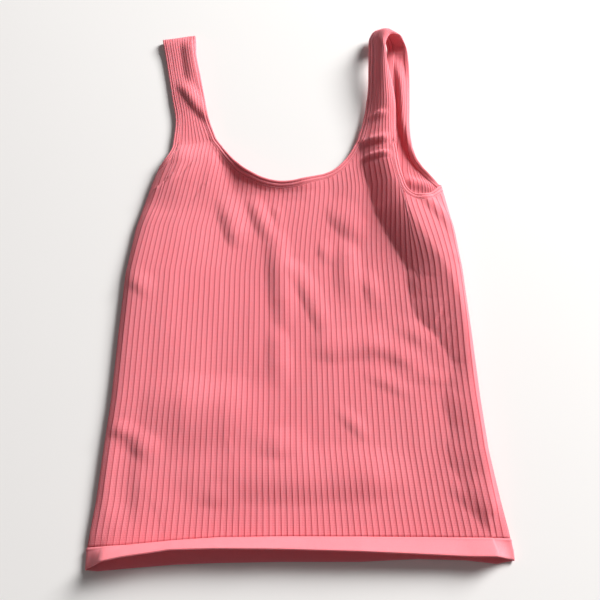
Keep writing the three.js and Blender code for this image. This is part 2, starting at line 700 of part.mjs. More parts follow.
// Stations along one edge of a strap, edge 0 being its left and 1 its right, from row to row.
function strapStations(strap, edge, from, to) {
  const steps = Math.round(Math.abs(to - from) / STRAP_STEP);
  const stations = [];
  for (let j = 0; j <= steps; j += 1) {
    const row = from + (to - from) * j / steps;
    stations.push((across) => {
      const w = strap.inset(across, row);
      return strap.at(edge ? 1 - w : w, row);
    });
  }
  return stations;
}

// Stations along a plan curve that turn a place on it into a surface point.
function edgeStations(curve, sideSign, toSurface) {
  const count = Math.round(curve.getLength() / BINDING_STEP);
  const stations = [];
  for (let i = 1; i < count; i += 1) {
    const p = curve.getPointAt(i / count);
    const t = curve.getTangentAt(i / count);
    stations.push((across) => toSurface(
      p.x + t.y * across * sideSign, p.y - t.x * across * sideSign));
  }
  return stations;
}

function neckBinding() {
  const back = edgeStations(neckBack, 1, backPoint).reverse();
  return ring('neck_binding', [
    ...edgeStations(neckFront, 1, frontPoint),
    ...strapStations(rightStrap, 0, 0, rightStrap.last),
    ...back,
    ...strapStations(leftStrap, 1, leftStrap.last, 0),
  ], COLOURS.binding);
}

function armholeBinding(name, side) {
  const strap = side < 0 ? leftStrap : rightStrap;
  const curve = side < 0 ? armholes.left : armholes.right;
  const toSurface = (u, y) => tubePoint(side, u, y);
  const around = strapStations(strap, side < 0 ? 0 : 1, strap.last, 0);
  let stations = [...underarmStations(curve, toSurface), ...around];
  if (side < 0) {
    stations = stations.reverse();
  }
  return ring(name, stations, COLOURS.binding);
}

// Stations under the arm, set close together where the binding turns round the side fold.
function underarmStations(curve, toSurface) {
  const steps = 400;
  const stations = [];
  let travelled = UNDERARM_STEP;
  let before = curve.getPointAt(0);
  const length = curve.getLength();
  for (let i = 1; i < steps; i += 1) {
    const p = curve.getPointAt(i / steps);
    travelled += p.distanceTo(before);
    before = p;
    const done = length * i / steps;
    const step = Math.abs(p.x) < FOLD_NEAR ? QUARTER_FOLD / 2 : UNDERARM_STEP;
    if (Math.min(done, length - done) > UNDERARM_MARGIN && travelled >= step) {
      const t = curve.getTangentAt(i / steps);
      stations.push((across) => toSurface(p.x + t.y * across, p.y - t.x * across));
      travelled = 0;
    }
  }
  return stations;
}

// The hem band: a flattened ring whose front is turned up about its seam, so that the mouth stands open.
function hemBand() {
  const sideAt = (side, y) => lookUp(SIDES, 'y', y, side < 0 ? 'left' : 'right') - side * FOLD_R;
  const across = (share, y) => THREE.MathUtils.lerp(sideAt(-1, y), sideAt(1, y), share);
  const layerPoint = (layer, share, depth) => {
    const x = across(share, HEM_BAND / 2);
    const seam = lookUp(HEM, 'x', x, 'seam');
    if (layer > 0) {
      const y = THREE.MathUtils.lerp(seam, lookUp(HEM, 'x', x, 'back'), depth);
      return backPoint(across(share, y), y);
    }
    const run = seam - lookUp(HEM, 'x', x, 'front');
    const toCorner = Math.min(share, 1 - share) * (sideAt(1, seam) - sideAt(-1, seam));
    const lift = Math.sqrt(Math.max(HEM_BAND ** 2 - run ** 2, 0)) * smooth(toCorner / CORNER_CLOSE);
    const y = seam - run * depth;
    const position = new THREE.Vector3(across(share, y), y, frontHeight(x, seam) + lift * depth);
    const square = new THREE.Vector3(0, lift, run).normalize();
    return point(position, depth > 0 ? square : new THREE.Vector3(0, 0, 1));
  };
  const foldPoint = (side, turn, depth) => {
    const x = sideAt(side, HEM_BAND / 2);
    const y = THREE.MathUtils.lerp(lookUp(HEM, 'x', x, 'seam'), lookUp(HEM, 'x', x, 'back'), depth);
    const normal = new THREE.Vector3(side * Math.cos(turn), 0, Math.sin(turn));
    const centre = new THREE.Vector3(sideAt(side, y), y, FOLD_Z);
    return point(centre.addScaledVector(normal, FOLD_R), normal);
  };
  const stations = [];
  for (let i = 1; i < HEM_STATIONS; i += 1) {
    stations.push((depth) => layerPoint(-1, i / HEM_STATIONS, depth));
  }
  for (const turn of HEM_TURNS) {
    stations.push((depth) => foldPoint(1, turn * Math.PI / 2, depth));
  }
  for (let i = HEM_STATIONS - 1; i > 0; i -= 1) {
    stations.push((depth) => layerPoint(1, i / HEM_STATIONS, depth));
  }
  for (const turn of HEM_TURNS.toReversed()) {
    stations.push((depth) => foldPoint(-1, turn * Math.PI / 2, depth));
  }
  const outer = stations.map((at) => HEM_DEPTHS.map((depth) => raised(at(depth), HEM_WALL / 2)));
  const inner = stations.map((at) => HEM_DEPTHS.map((depth) => raised(at(depth), -HEM_WALL / 2)));
  outer.push(outer[0]);
  inner.push(inner[0]);
  const list = [];
  addGrid(list, outer, true);
  addGrid(list, inner, false);
  addRim(list, outer.map((c) => c[0]), inner.map((c) => c[0]), true);
  addRim(list, outer.map((c) => c.at(-1)), inner.map((c) => c.at(-1)), false);
  return solid('hem_band', list, COLOURS.plain);
}

const tank = new THREE.Group();
tank.add(
  panel('front', -1),
  panel('back', 1),
  hemBand(),
  neckBinding(),
  armholeBinding('armhole_binding_left', -1),
  armholeBinding('armhole_binding_right', 1),
);

// The origin is the middle of the box round the garment, on the floor.
const box = new THREE.Box3().setFromObject(tank);
const middle = box.getCenter(new THREE.Vector3());
for (const piece of tank.children) {
  piece.geometry.translate(-middle.x, -middle.y, -box.min.z);
}

export default tank;
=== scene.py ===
# %% Load the frame
import math

import bpy
import numpy as np
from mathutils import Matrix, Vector


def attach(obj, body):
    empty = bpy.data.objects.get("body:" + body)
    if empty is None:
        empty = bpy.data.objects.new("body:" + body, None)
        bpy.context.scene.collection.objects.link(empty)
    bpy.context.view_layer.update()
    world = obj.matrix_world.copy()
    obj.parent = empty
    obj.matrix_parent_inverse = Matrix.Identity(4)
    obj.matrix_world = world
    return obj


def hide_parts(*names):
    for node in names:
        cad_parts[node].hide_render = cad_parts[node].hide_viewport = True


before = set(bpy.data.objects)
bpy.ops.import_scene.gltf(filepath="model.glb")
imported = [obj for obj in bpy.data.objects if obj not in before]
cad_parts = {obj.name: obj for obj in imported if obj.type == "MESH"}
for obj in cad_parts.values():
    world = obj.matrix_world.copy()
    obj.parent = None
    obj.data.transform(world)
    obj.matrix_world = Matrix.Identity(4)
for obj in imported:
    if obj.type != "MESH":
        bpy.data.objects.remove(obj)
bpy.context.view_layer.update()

print("nodes in the frame:", sorted(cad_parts))

# %% [markdown]
# A ribbed tank top is knitted as a tube, so its body has a front and a back but no side seams. Laid on
# a floor it is two layers of thin cloth that turn into each other at the side folds. We could drape it
# with a simulation, but the photo shows one certain lie: a flat left strap, a right strap that stands
# in a loop, and a lifted hem. So each piece is worked out as a surface from the garment's outline, a
# table of folds and a table of strap sections, and gets its thickness along the surface's normals.

# %% Sizes of the garment
MM = 0.001  # the tables below are written in millimetres and kept in metres
MIDDLE = np.array([-0.3842, 279.791, 0.0]) * MM  # the frame's origin, from the middle of the hem

BACK_Z = 0.9 * MM  # middle of the back's wall
FRONT_Z = 2.8 * MM  # middle of the front's wall where it lies on the back
FOLD_Z = (BACK_Z + FRONT_Z) / 2
FOLD_R = (FRONT_Z - BACK_Z) / 2
QUARTER_FOLD = FOLD_R * math.pi / 2
WALL = 1.1 * MM
BINDING = 6.4 * MM  # width of the neck and armhole bindings
TUCK = 0.7 * MM  # how far a panel runs in under its binding
HEM_BAND = 17 * MM

RIBS = {"left arm": 3, "left strap": 9, "neck": 37, "right strap": 8, "right arm": 11}
RIB_COUNT = sum(RIBS.values())


def table(*rows):
    """Rows of a table, in metres."""
    return np.array(rows, float) * MM


SIDES = table(  # y, left, right
    (-8, -161.8, 162.8), (8, -163.2, 163.2), (23, -162.6, 161.8), (45, -161.4, 158.8),
    (85, -161.4, 154.8), (127, -160.9, 153.8), (193, -162.9, 153.9), (250, -164.1, 153),
    (299, -160.3, 149.6), (347, -150.8, 143.9), (373, -144.6, 136),
)
HEM = table(  # x, then y of the seam, of the front's lower edge and of the back's
    (-165, 10, -5.8, -5.6), (-155, 10.3, -2.6, -6.6), (-148, 10.6, -0.6, -6), (-133, 11.5, 2.6, -4.7),
    (-97, 14.8, 7.7, -2), (-65, 17, 8.5, -0.8), (-15, 17.8, 8.1, 0), (45, 17.7, 6.6, 0),
    (90, 17.4, 4.8, 2), (127, 17.1, 3.2, 1), (150, 16.9, 3, -1.4), (164, 16.7, 1.2, 1),
)
NECK = table(  # x and y of the neck edge between the straps
    (-89, 412), (-81, 397), (-70, 379), (-53, 362), (-33, 352.8), (-11, 352), (12, 359), (34, 369),
    (49, 386), (59.5, 405.5),
)
LEFT_ARMHOLE = table((-134, 399), (-135.2, 389), (-138.2, 381), (-144.6, 373))
RIGHT_ARMHOLE_FRONT = table(
    (98.5, 394.5), (99.2, 374), (100.4, 360), (102.7, 347), (106.3, 334), (114, 329), (122, 330),
    (130.5, 336), (137.5, 344), (142.5, 351.5),
)
RIGHT_ARMHOLE_BACK = table((117.5, 397.5), (121, 384), (127.5, 372), (134.5, 363), (142.5, 351.5))
print(f"{RIB_COUNT} ribs across {(SIDES[1, 2] - SIDES[1, 1]) * 1000:.0f} mm")

# %% [markdown]
# The cloth's lie is a height over the floor. Each fold is a short crest line with a rise, and the cloth
# falls away from it over a reach that may differ on the two sides. A ratio r is 0 on the crest and 1 at
# the reach, and the height is (1 - r^a)^b. Three pairs of powers do for everything: a soft hill, a roll
# that ends in a sharp valley, and a flare that is steepest next to its crest. Sculpting would give the
# same look, but a table keeps every fold in one readable row that can be moved by hand.

# %% Folds of the body
SHAPES = {"soft": (2, 2), "roll": (1.4, 1), "flare": (1, 2)}  # the powers a and b

# For each crest: x, y, rise, and its reach to the left and to the right of it. Crests run upwards or
# to the left, so the first reach is the side that faces away from the lamp.
FOLDS = {
    "right flank roll": table(
        (150, 20, 0, 10, 8), (151, 40, 2, 14, 8), (151, 60, 3.5, 22, 9), (150, 82, 4.5, 30, 10),
        (149, 104, 4.5, 24, 10), (149, 122, 4, 28, 10), (148, 142, 3, 20, 10), (149, 158, 3.5, 14, 10),
        (149, 172, 4, 20, 10), (148, 188, 5.5, 26, 12), (147, 204, 7, 33, 14), (143, 222, 9, 42, 18),
        (137, 242, 11, 38, 28), (129, 260, 12.5, 30, 44), (119.5, 279, 13, 28, 60),
        (109.5, 301, 13, 28, 60), (100.5, 324, 12.5, 28, 60), (94, 348, 12, 25, 60),
        (89, 372, 11, 24, 60), (88, 410, 9, 26, 60),
    ),
    "right flank": table(
        (149, 40, 1.5, 50, 10), (148, 150, 3, 60, 20), (144, 195, 4, 80, 30), (138, 230, 4.5, 85, 40),
        (124, 270, 4.5, 85, 60), (102, 320, 5.5, 80, 60), (88, 400, 4, 60, 60),
    ),
    "left flank": table(
        (-151, 20, 3, 30, 60), (-150, 60, 4, 30, 80), (-149, 150, 5, 30, 100), (-150, 250, 6.5, 30, 110),
        (-144, 310, 6, 30, 90), (-136, 350, 4, 30, 60), (-132, 372, 1.5, 30, 40),
    ),
    "left low valley": table(
        (-146, 104, 0, 12, 14), (-142, 88, -1.8, 13, 16), (-141, 66, -1.4, 13, 16), (-138, 42, -2, 13, 16),
        (-135, 24, 0, 12, 14)),
    "underarm": table(
        (154.6, 276, 0, 10, 10), (147, 292, 2, 10, 10), (139, 306, 3, 10, 10),
        (128.5, 320.5, 3, 10, 10), (119, 331, 2, 9, 9), (111, 341, 0.5, 7, 7),
    ),
    "neck edge flare": table(
        (48, 383, 0, 18, 10), (37, 376, 2, 24, 10), (25, 368, 3.5, 30, 10), (0, 359.5, 7, 34, 10),
        (-25, 357.5, 8, 34, 10), (-46, 363, 8, 30, 10), (-59, 373, 7.5, 24, 10),
        (-71, 388, 4.5, 17, 10), (-80, 404, 1, 12, 8),
    ),
    "neck rim roll": table(
        (24, 361, 0, 11, 8), (10, 356.5, 1.5, 12, 8), (-11, 354, 3, 12, 8), (-34, 355, 4, 12, 8),
        (-53, 364, 4.5, 12, 8), (-70, 381, 4, 12, 8), (-82, 400, 2, 11, 8), (-92, 420, 0, 10, 8),
    ),
    "left foot": table(
        (-66, 372, 3, 60, 30), (-92, 373, 9, 60, 38), (-123, 373, 9, 60, 38), (-142, 373, 4, 50, 34)),
    "centre streak": table(
        (25, 183, 0, 10, 12), (16, 206, 1.6, 11, 14), (6, 231, 2, 12, 15), (-4, 252, 1.8, 12, 14),
        (-10, 265, 0, 10, 12)),
    "centre hollow": table(
        (-14, 190, 0, 14, 14), (-15, 221, 3, 17, 16), (-17, 252, 3.4, 18, 15), (-22, 280, 2, 17, 15),
        (-26, 300, 0, 14, 14)),
    "bust streak": table(
        (62, 284, 0, 12, 14), (50, 296, 2, 14, 20), (38, 312, 2, 15, 24), (28, 332, 0, 12, 18)),
    "left bust": table(
        (-58, 276, 0, 10, 14), (-63, 292, 3, 13, 18), (-70, 314, 3, 14, 20), (-76, 336, 0, 12, 16)),
    "inner bust": table(
        (-29, 284, 0, 9, 10), (-35, 302, 2.4, 11, 12), (-43, 321, 2, 11, 12), (-48, 338, 0, 9, 10)),
    "right breast": table(
        (48, 212, 0, 16, 14), (46, 240, 2.6, 18, 16), (44, 268, 2.6, 18, 16), (38, 292, 0, 16, 14)),
    "corner ridge": table(
        (156, 21, 0, 10, 16), (145, 39, 2, 12, 20), (133, 50, 1.6, 12, 20), (120, 60, 0, 10, 16)),
    "low ridge": table(
        (92, 62, 0, 18, 26), (60, 62, 3.2, 21, 30), (24, 61, 3, 22, 32), (-8, 60, 3, 22, 32),
        (-44, 61, 2.2, 22, 30), (-84, 64, 1.4, 20, 26), (-112, 66, 0, 16, 22)),
    "left waist": table(
        (-28, 116, 0, 40, 32), (-62, 118, 4.6, 46, 34), (-98, 118, 4.6, 46, 34), (-136, 116, 0, 40, 32)),
    "waist": table(
        (96, 184, 0, 14, 20), (60, 176, 2.4, 16, 24), (30, 172, 2, 15, 22), (4, 174, 0, 12, 18)),
}
SMALL_FOLDS = {  # creases too fine for the solids
    "below neck": table((-20, 299, 0, 7, 9), (-23, 318, 1.2, 7, 10), (-26, 335, 0, 7, 9)),
    "middle": table(
        (-18, 136, 0, 12, 12), (-18, 158, 1.8, 14, 14), (-20, 180, 1.6, 13, 13), (-24, 196, 0, 10, 10)),
    "right bust": table((28, 257, 0, 8, 11), (23, 273, 1.6, 9, 12), (20, 290, 0, 8, 11)),
    "outer rib": table((70, 212, 0, 9, 12), (65, 233, 1.8, 10, 13), (60, 254, 0, 9, 12)),
    "first slant": table((124, 172, 0, 9, 12), (103, 186, 1.2, 10, 14), (77, 202, 0, 9, 12)),
    "second slant": table((112, 150, 0, 9, 12), (86, 166, 1.6, 10, 14), (56, 178, 0, 9, 12)),
    "third slant": table((100, 128, 0, 8, 10), (76, 142, 1.3, 9, 12), (50, 152, 0, 8, 10)),
    "right line": table((140, 141, 0, 7, 10), (112, 146, 0.9, 8, 12), (80, 150, 0, 7, 10)),
    "belly streak": table((60, 90, 0, 8, 11), (45, 106, 1.6, 9, 12), (29, 122, 0, 8, 11)),
    "belly line": table((6, 88, 0, 12, 16), (-18, 88, 2.4, 14, 18), (-42, 88, 0, 12, 16)),
    "low left line": table((-48, 46, 0, 9, 12), (-70, 47, 1.6, 10, 14), (-92, 46, 0, 9, 12)),
    "left hollow": table(
        (-120, 72, 0, 10, 14), (-125, 84, 2, 11, 15), (-138, 92, 1.4, 10, 14), (-152, 93, 0, 8, 12)),
    "left pucker": table((-136, 222, 0, 8, 14), (-148, 234, 2, 9, 16), (-163, 245, 0, 8, 14)),
    "lower left pucker": table((-134, 96, 0, 7, 10), (-148, 99, 2, 7, 11), (-160, 101, 0, 7, 10)),
}
WRINKLES = {  # creases that cross from the body to a strap
    "right upper": table((95, 431, 0, 5, 6), (84, 434, 3.2, 6, 6), (72, 434, 0, 5, 6)),
    "right middle": table(
        (95, 399, 0, 6, 7), (86, 401, 4, 7, 7), (73, 402, 4, 7, 7), (62, 399, 0, 6, 7)),
    "right lower": table(
        (94, 379, 0, 5, 5), (84, 381, 3, 5, 5), (72, 382, 3, 5, 5), (61, 380, 0, 5, 5)),
    "left ridge": table(
        (-94, 431, 0, 8, 13), (-103, 443, 3.4, 8, 13), (-114, 458, 4, 8, 13), (-125, 476, 3.4, 8, 13),
        (-136, 491, 0, 8, 12)),
    "left rim": table(
        (-113, 478, 0, 12, 8), (-119, 507, 4, 13, 8), (-125, 540, 4.5, 13, 8), (-128, 560, 0, 12, 8)),
}
BACK_FOLDS = {
    "armhole rim": table(
        (144, 355, 0.5, 7, 8), (133.5, 367, 3, 7, 8), (124, 379, 4, 8, 9), (117, 394, 5, 8, 9),
        (113, 410, 5.5, 7, 9), (110.5, 434, 6, 6, 10), (111.5, 463, 6, 5.5, 10), (112.5, 492, 6, 5.5, 10),
        (111, 519.5, 5, 5.5, 9), (106.5, 537, 0, 5, 8)),
    "inner swell": table(
        (142, 345, 0, 9, 8), (127, 352, 2.5, 10, 8), (112, 357, 3, 10, 8), (105.5, 363, 0, 9, 8)),
}


def smooth(t):
    """3t squared minus 2t cubed, held at 0 and 1."""
    c = np.clip(t, 0, 1)
    return c * c * (3 - 2 * c)


def fold_rise(name, crest, x, y):
    """Rise at the nearest place of a crest line, times (1 - r^a)^b, r being distance over reach."""
    best = np.zeros_like(x)
    nearest = np.full_like(x, np.inf)
    for (ax, ay, *a), (bx, by, *b) in zip(crest, crest[1:]):
        a, b = np.array(a), np.array(b)
        dx, dy = bx - ax, by - ay
        t = np.clip(((x - ax) * dx + (y - ay) * dy) / (dx * dx + dy * dy), 0, 1)
        px, py = x - ax - dx * t, y - ay - dy * t
        rise, left, right = (a[k] + (b[k] - a[k]) * t for k in range(3))
        ratio = np.hypot(px, py) / np.where(dx * py - dy * px > 0, left, right)
        best = np.where(ratio < nearest, rise, best)
        nearest = np.minimum(ratio, nearest)
    inner, outer = SHAPES.get(name.split()[-1], SHAPES["soft"])
    return best * (1 - np.clip(nearest, 0, 1) ** inner) ** outer


# Knit that lies loose is never quite flat: low hills and hollows, taller than they are wide.
SLACK = ((24 * MM, 70 * MM, 0.55 * MM), (11 * MM, 30 * MM, 0.2 * MM))  # cell width, height and rise
SLACK_SEED = 11


def slack(x, y):
    """Seeded numbers on two grids, joined smoothly between the grid's corners."""
    dice = np.random.default_rng(SLACK_SEED)
    total = 0
    for wide, high, rise in SLACK:
        corner = dice.uniform(-1, 1, (64, 32))
        u, v = x / wide + 32, y / high + 4
        i, j = np.clip(u.astype(int), 0, 62), np.clip(v.astype(int), 0, 30)
        a, b = smooth(u - i), smooth(v - j)
        low = corner[i, j] * (1 - a) + corner[i + 1, j] * a
        above = corner[i, j + 1] * (1 - a) + corner[i + 1, j + 1] * a
        total = total + rise * (low * (1 - b) + above * b)
    return total


SIDE_FADE = 9 * MM


def side_x(y, side):
    """x of the side fold's outermost line on the left (-1) or right (1)."""
    return np.interp(y, SIDES[:, 0], SIDES[:, 1 if side < 0 else 2])


def rise_of(folds, x, y):
    """Sum of the rises of several folds."""
    return sum(fold_rise(name, crest, x, y) for name, crest in folds.items())


def resting_height(x, y):
    """Height of the front's middle surface with the folds of the body alone. Next to a side fold it
    climbs as a quarter of an ellipse, as a rolled edge does."""
    rise = rise_of(FOLDS, x, y) + rise_of(SMALL_FOLDS, x, y) + slack(x, y)
    to_side = np.minimum(x - side_x(y, -1), side_x(y, 1) - x)
    share = np.clip(to_side / SIDE_FADE, 0, 1)
    return FRONT_Z + np.maximum(rise, 0) * np.sqrt(share * (2 - share))


def front_height(x, y):
    return resting_height(x, y) + rise_of(WRINKLES, x, y)


def back_height(x, y):
    return BACK_Z + rise_of(BACK_FOLDS, x, y)


ALL_FOLDS = [*FOLDS.values(), *SMALL_FOLDS.values(), *WRINKLES.values(), *BACK_FOLDS.values()]
print(f"{len(ALL_FOLDS)} folds, the highest {max(f[:, 2].max() for f in ALL_FOLDS) * 1000:.0f} mm")

# %% [markdown]
# A surface point is a place with its outward normal, so that a wall, a binding or a stitch can all be
# moved out from the same surface. Near a side fold the two layers and the fold between them are one
# strip, measured as u from the fold's outermost line: below zero is the front, above zero the back.

# %% Surface of the tube
def stack(x, y, z):
    return np.stack(np.broadcast_arrays(x, y, z), axis=-1)


def unit(v):
    return v / np.linalg.norm(v, axis=-1, keepdims=True)


def run_along(line):
    """Distance run along a line of points, from 0 at its start."""
    return np.concatenate([[0], np.cumsum(np.linalg.norm(np.diff(line, axis=0), axis=1))])


def height_surface(height, x, y, up):
    """Points at a height over x, y, with normals from its slopes over a short step, up or down."""
    e = 0.8 * MM
    slope_x = (height(x + e, y) - height(x - e, y)) / (2 * e)
    slope_y = (height(x, y + e) - height(x, y - e)) / (2 * e)
    return stack(x, y, height(x, y)), up * unit(stack(-slope_x, -slope_y, 1.0))


def front_surface(x, y):
    return height_surface(front_height, x, y, 1)


def back_surface(x, y):
    return height_surface(back_height, x, y, -1)


def tube_surface(side, u, y):
    """Half circles round the side fold, and the front or back beyond them."""
    u, y = np.broadcast_arrays(u, y)
    edge = np.abs(side_x(y, side)) - FOLD_R
    x = side * (edge - np.maximum(np.abs(u) - QUARTER_FOLD, 0))
    turn = np.clip(u / FOLD_R, -math.pi / 2, math.pi / 2)
    normals = stack(side * np.cos(turn), 0.0, -np.sin(turn))
    places = stack(x, y, FOLD_Z) + normals * FOLD_R
    for surface, here in ((front_surface, u < -QUARTER_FOLD), (back_surface, u > QUARTER_FOLD)):
        flat_places, flat_normals = surface(x, y)
        places = np.where(here[..., None], flat_places, places)
        normals = np.where(here[..., None], flat_normals, normals)
    return places, normals


def unroll(side, x, y, layer):
    """u of a front (layer -1) or back (layer 1) point near a side."""
    return layer * np.maximum(np.abs(side_x(y, side)) - FOLD_R - side * x + QUARTER_FOLD, 0)


# %% [markdown]
# The straps are strips of the same cloth. A strap's table has a section in each row: its left edge, its
# middle and its right edge. Three smooth curves run through them, and a parabola joins them across the
# strap. The left strap's rows lie flat and turn over at the shoulder. The right strap's middle rises
# above its edges and then turns over to the right, which stands it up as a loop.

# %% Sections of the straps
LEFT_STRAP = table(  # x, y, z of the left edge, of the middle and of the right edge
    (-134, 399, 3, -111, 405, 4, -89, 412, 3),
    (-134, 436, 3.6, -117, 439, 5, -99, 441, 3.6),
    (-140.5, 468, 3.4, -123, 469, 6, -105, 469, 3.4),
    (-147, 499, 3.4, -130, 499.5, 5, -111.5, 499, 3.4),
    (-154, 532, 4, -136.5, 532, 6, -118.5, 531, 4),
    (-158.5, 552, 5.5, -140.5, 554, 6.5, -121.5, 556, 5.5),
    (-160, 557.5, 3.4, -141, 561, 3.6, -122.5, 565.5, 3.4),
    (-158.8, 551, 1, -140, 554.5, 0.9, -121.5, 558.5, 1),
    (-153.5, 531, 0.9, -136.5, 532, 0.9, -119, 532, 0.9),
    (-147, 499, 0.9, -130, 500, 0.9, -112.5, 499, 0.9),
    (-140.5, 468, 0.9, -123, 469, 0.9, -106, 469, 0.9),
    (-134, 437, 0.9, -117, 439, 0.9, -100, 441, 0.9),
    (-133.5, 399, 0.9, -111, 404, 0.9, -90, 411, 0.9),
)
RIGHT_STRAP = table(
    (59.5, 405.5, 3, 85, 401, 12, 98.5, 394.5, 8),
    (68, 434.5, 4.8, 87.5, 430, 16.5, 100.5, 423, 14),
    (72.5, 458.5, 5, 89.5, 452, 19.5, 101.5, 448, 15.5),
    (75.5, 481, 5.8, 90, 473, 21.5, 100.5, 472, 16),
    (77, 507, 7.2, 90.5, 496.5, 24, 98, 492.5, 16.5),
    (78.5, 533.5, 8.8, 91.5, 520.5, 25.5, 94.5, 514, 19),
    (80, 552, 10, 91.5, 538, 26, 95, 533, 21.5),
    (88, 565, 9.5, 98, 552, 24.5, 101.5, 545.5, 23),
    (96.5, 560, 5.5, 109, 552, 15, 113.5, 548, 18.5),
    (100.5, 548.5, 2.5, 114, 543.5, 7, 121.5, 542, 9),
    (100.5, 529.5, 1, 114, 528, 2, 124, 526, 3.5),
    (97, 496.5, 0.9, 111.5, 495, 0.9, 123, 493, 1.5),
    (91, 461, 0.9, 107, 459.5, 0.9, 120, 458, 1),
    (81, 430, 0.9, 100.5, 427, 0.9, 117, 422, 0.9),
    (60, 404.5, 0.9, 91, 400, 0.9, 117.5, 397.5, 0.9),
)
LEFT_SEAM_ROW = 7.4  # the shoulder seams, in rows of the strap's table
RIGHT_SEAM_ROW = 9.6


def curve_through(knots, at):
    """A cubic through the knots whose tangents weigh each side by the root of its length, so that
    short steps beside long ones don't loop. at counts knots from 0."""
    ends = np.concatenate([2 * knots[:1] - knots[1:2], knots, 2 * knots[-1:] - knots[-2:-1]])
    gap = np.sqrt(np.linalg.norm(np.diff(ends, axis=0), axis=1))[:, None]
    step = np.diff(ends, axis=0)
    slope = step[:-1] / gap[:-1] - (ends[2:] - ends[:-2]) / (gap[:-1] + gap[1:]) + step[1:] / gap[1:]
    at = np.clip(at, 0, len(knots) - 1)
    i = np.minimum(at.astype(int), len(knots) - 2)
    t = (at - i)[..., None]
    p, q = knots[i], knots[i + 1]
    m, n = slope[i] * gap[i + 1], slope[i + 1] * gap[i + 1]
    return (p * (2 * t**3 - 3 * t**2 + 1) + m * (t**3 - 2 * t**2 + t)
            + q * (3 * t**2 - 2 * t**3) + n * (t**3 - t**2))


class Strap:
    """A strap's surface: w runs from its left edge (0) to its right edge (1), row along its table."""

    def __init__(self, rows, seam):
        self.knots = rows.reshape(-1, 3, 3).copy()
        foot = self.knots[0]
        foot[:, 2] = resting_height(foot[:, 0], foot[:, 1])
        self.last = len(rows) - 1
        self.seam = seam

    def place(self, w, row):
        """The parabola through the left, middle and right curves at a row, and the wrinkles over it."""
        w, row = np.broadcast_arrays(np.asarray(w, float), np.asarray(row, float))
        left, middle, right = (curve_through(self.knots[:, k], row) for k in range(3))
        v = w[..., None]
        place = left * (1 - v) * (1 - 2 * v) + middle * 4 * v * (1 - v) + right * v * (2 * v - 1)
        x, y = place[..., 0], place[..., 1]
        before = smooth((self.seam - 1 - row) / 2) * rise_of(WRINKLES, x, y)
        after = smooth((row - self.seam) / 2) * rise_of(BACK_FOLDS, x, y)
        return place + stack(0.0, 0.0, before + after)

    def surface(self, w, row):
        """Places, and normals from the cross product of steps across and along."""
        e, f = 0.02, 0.04
        across = self.place(w + e, row) - self.place(w - e, row)
        along = (self.place(w, np.minimum(row + f, self.last))
                 - self.place(w, np.maximum(row - f, 0)))
        return self.place(w, row), unit(np.cross(across, along))

    def inset(self, distance, row):
        """The share of the strap's width that a distance from its edge takes up."""
        w = np.linspace(0, 1, 9)
        line = self.place(w[:, None], np.atleast_1d(row)[None])
        return distance / np.linalg.norm(np.diff(line, axis=0), axis=2).sum(axis=0)


left_strap = Strap(LEFT_STRAP, LEFT_SEAM_ROW)
right_strap = Strap(RIGHT_STRAP, RIGHT_SEAM_ROW)
for name, strap in (("left", left_strap), ("right", right_strap)):
    width = MM / strap.inset(MM, np.arange(strap.last))
    print(f"{name} strap: {width.min() * 1000:.0f} to {width.max() * 1000:.0f} mm wide")

# %% [markdown]
# The neck and armhole edges are plan curves. A panel stops where its binding covers it, so its rim is
# the same curve moved square to itself into the cloth. Ribs end on that rim: at the underarms and the
# neck the rim cuts them off, and at the straps they run on.

# %% Edges and rims
CURVE_STEPS = 4000  # steps in which a curve's length is measured
NECK_ENDS = 18  # points of the neck's line that are left to the straps at each end
CORNER_GAP = 2 * MM  # how far below a strap's foot its armhole rim begins


def plan_curve(knots, count=400):
    """Evenly spaced points on a curve through x, y knots, and the direction to its right."""
    fine = curve_through(knots, np.linspace(0, len(knots) - 1, CURVE_STEPS))
    length = run_along(fine)
    at = np.linspace(0, length[-1], count)
    line = np.stack([np.interp(at, length, fine[:, k]) for k in range(2)], axis=1)
    way = unit(np.gradient(line, axis=0))
    return line, np.stack([way[:, 1], -way[:, 0]], axis=1)


def armhole_knots(side, front, back):
    """The armhole edge on the unrolled tube, from the front strap's foot to the back strap's."""
    u_front = unroll(side, front[:, 0], front[:, 1], -1)
    u_back = unroll(side, back[:, 0], back[:, 1], 1)
    return np.stack([np.r_[u_front, u_back[-2::-1]], np.r_[front[:, 1], back[-2::-1, 1]]], axis=1)


LEFT_ARMHOLE_BACK = LEFT_ARMHOLE + table((1, 0), (1, 0), (1, 0), (0, 0))  # a little further in
ARMHOLES = {
    -1: armhole_knots(-1, LEFT_ARMHOLE, LEFT_ARMHOLE_BACK),
    1: armhole_knots(1, RIGHT_ARMHOLE_FRONT, RIGHT_ARMHOLE_BACK),
}
NECK_BACK = NECK + table((0.5, -1))
PANEL_INSET = BINDING - TUCK


def spaced(line, count, steep_share):
    """Resamples a line into equal steps, a rise counting only in part."""
    step = np.diff(line, axis=0)
    length = np.concatenate([[0], np.cumsum(np.hypot(step[:, 0], step[:, 1] * steep_share))])
    at = np.linspace(0, length[-1], count + 1)
    return np.stack([np.interp(at, length, line[:, k]) for k in range(2)], axis=1)


def arm_rim(side, layer):
    """The inset armhole line on one layer, from the strap's foot to the side fold, in plan."""
    line, inward = plan_curve(ARMHOLES[side])
    line = line + inward * PANEL_INSET
    line = line[layer * line[:, 0] > 0][::-layer]
    return tube_surface(side, line[:, 0], line[:, 1])[0][:, :2]


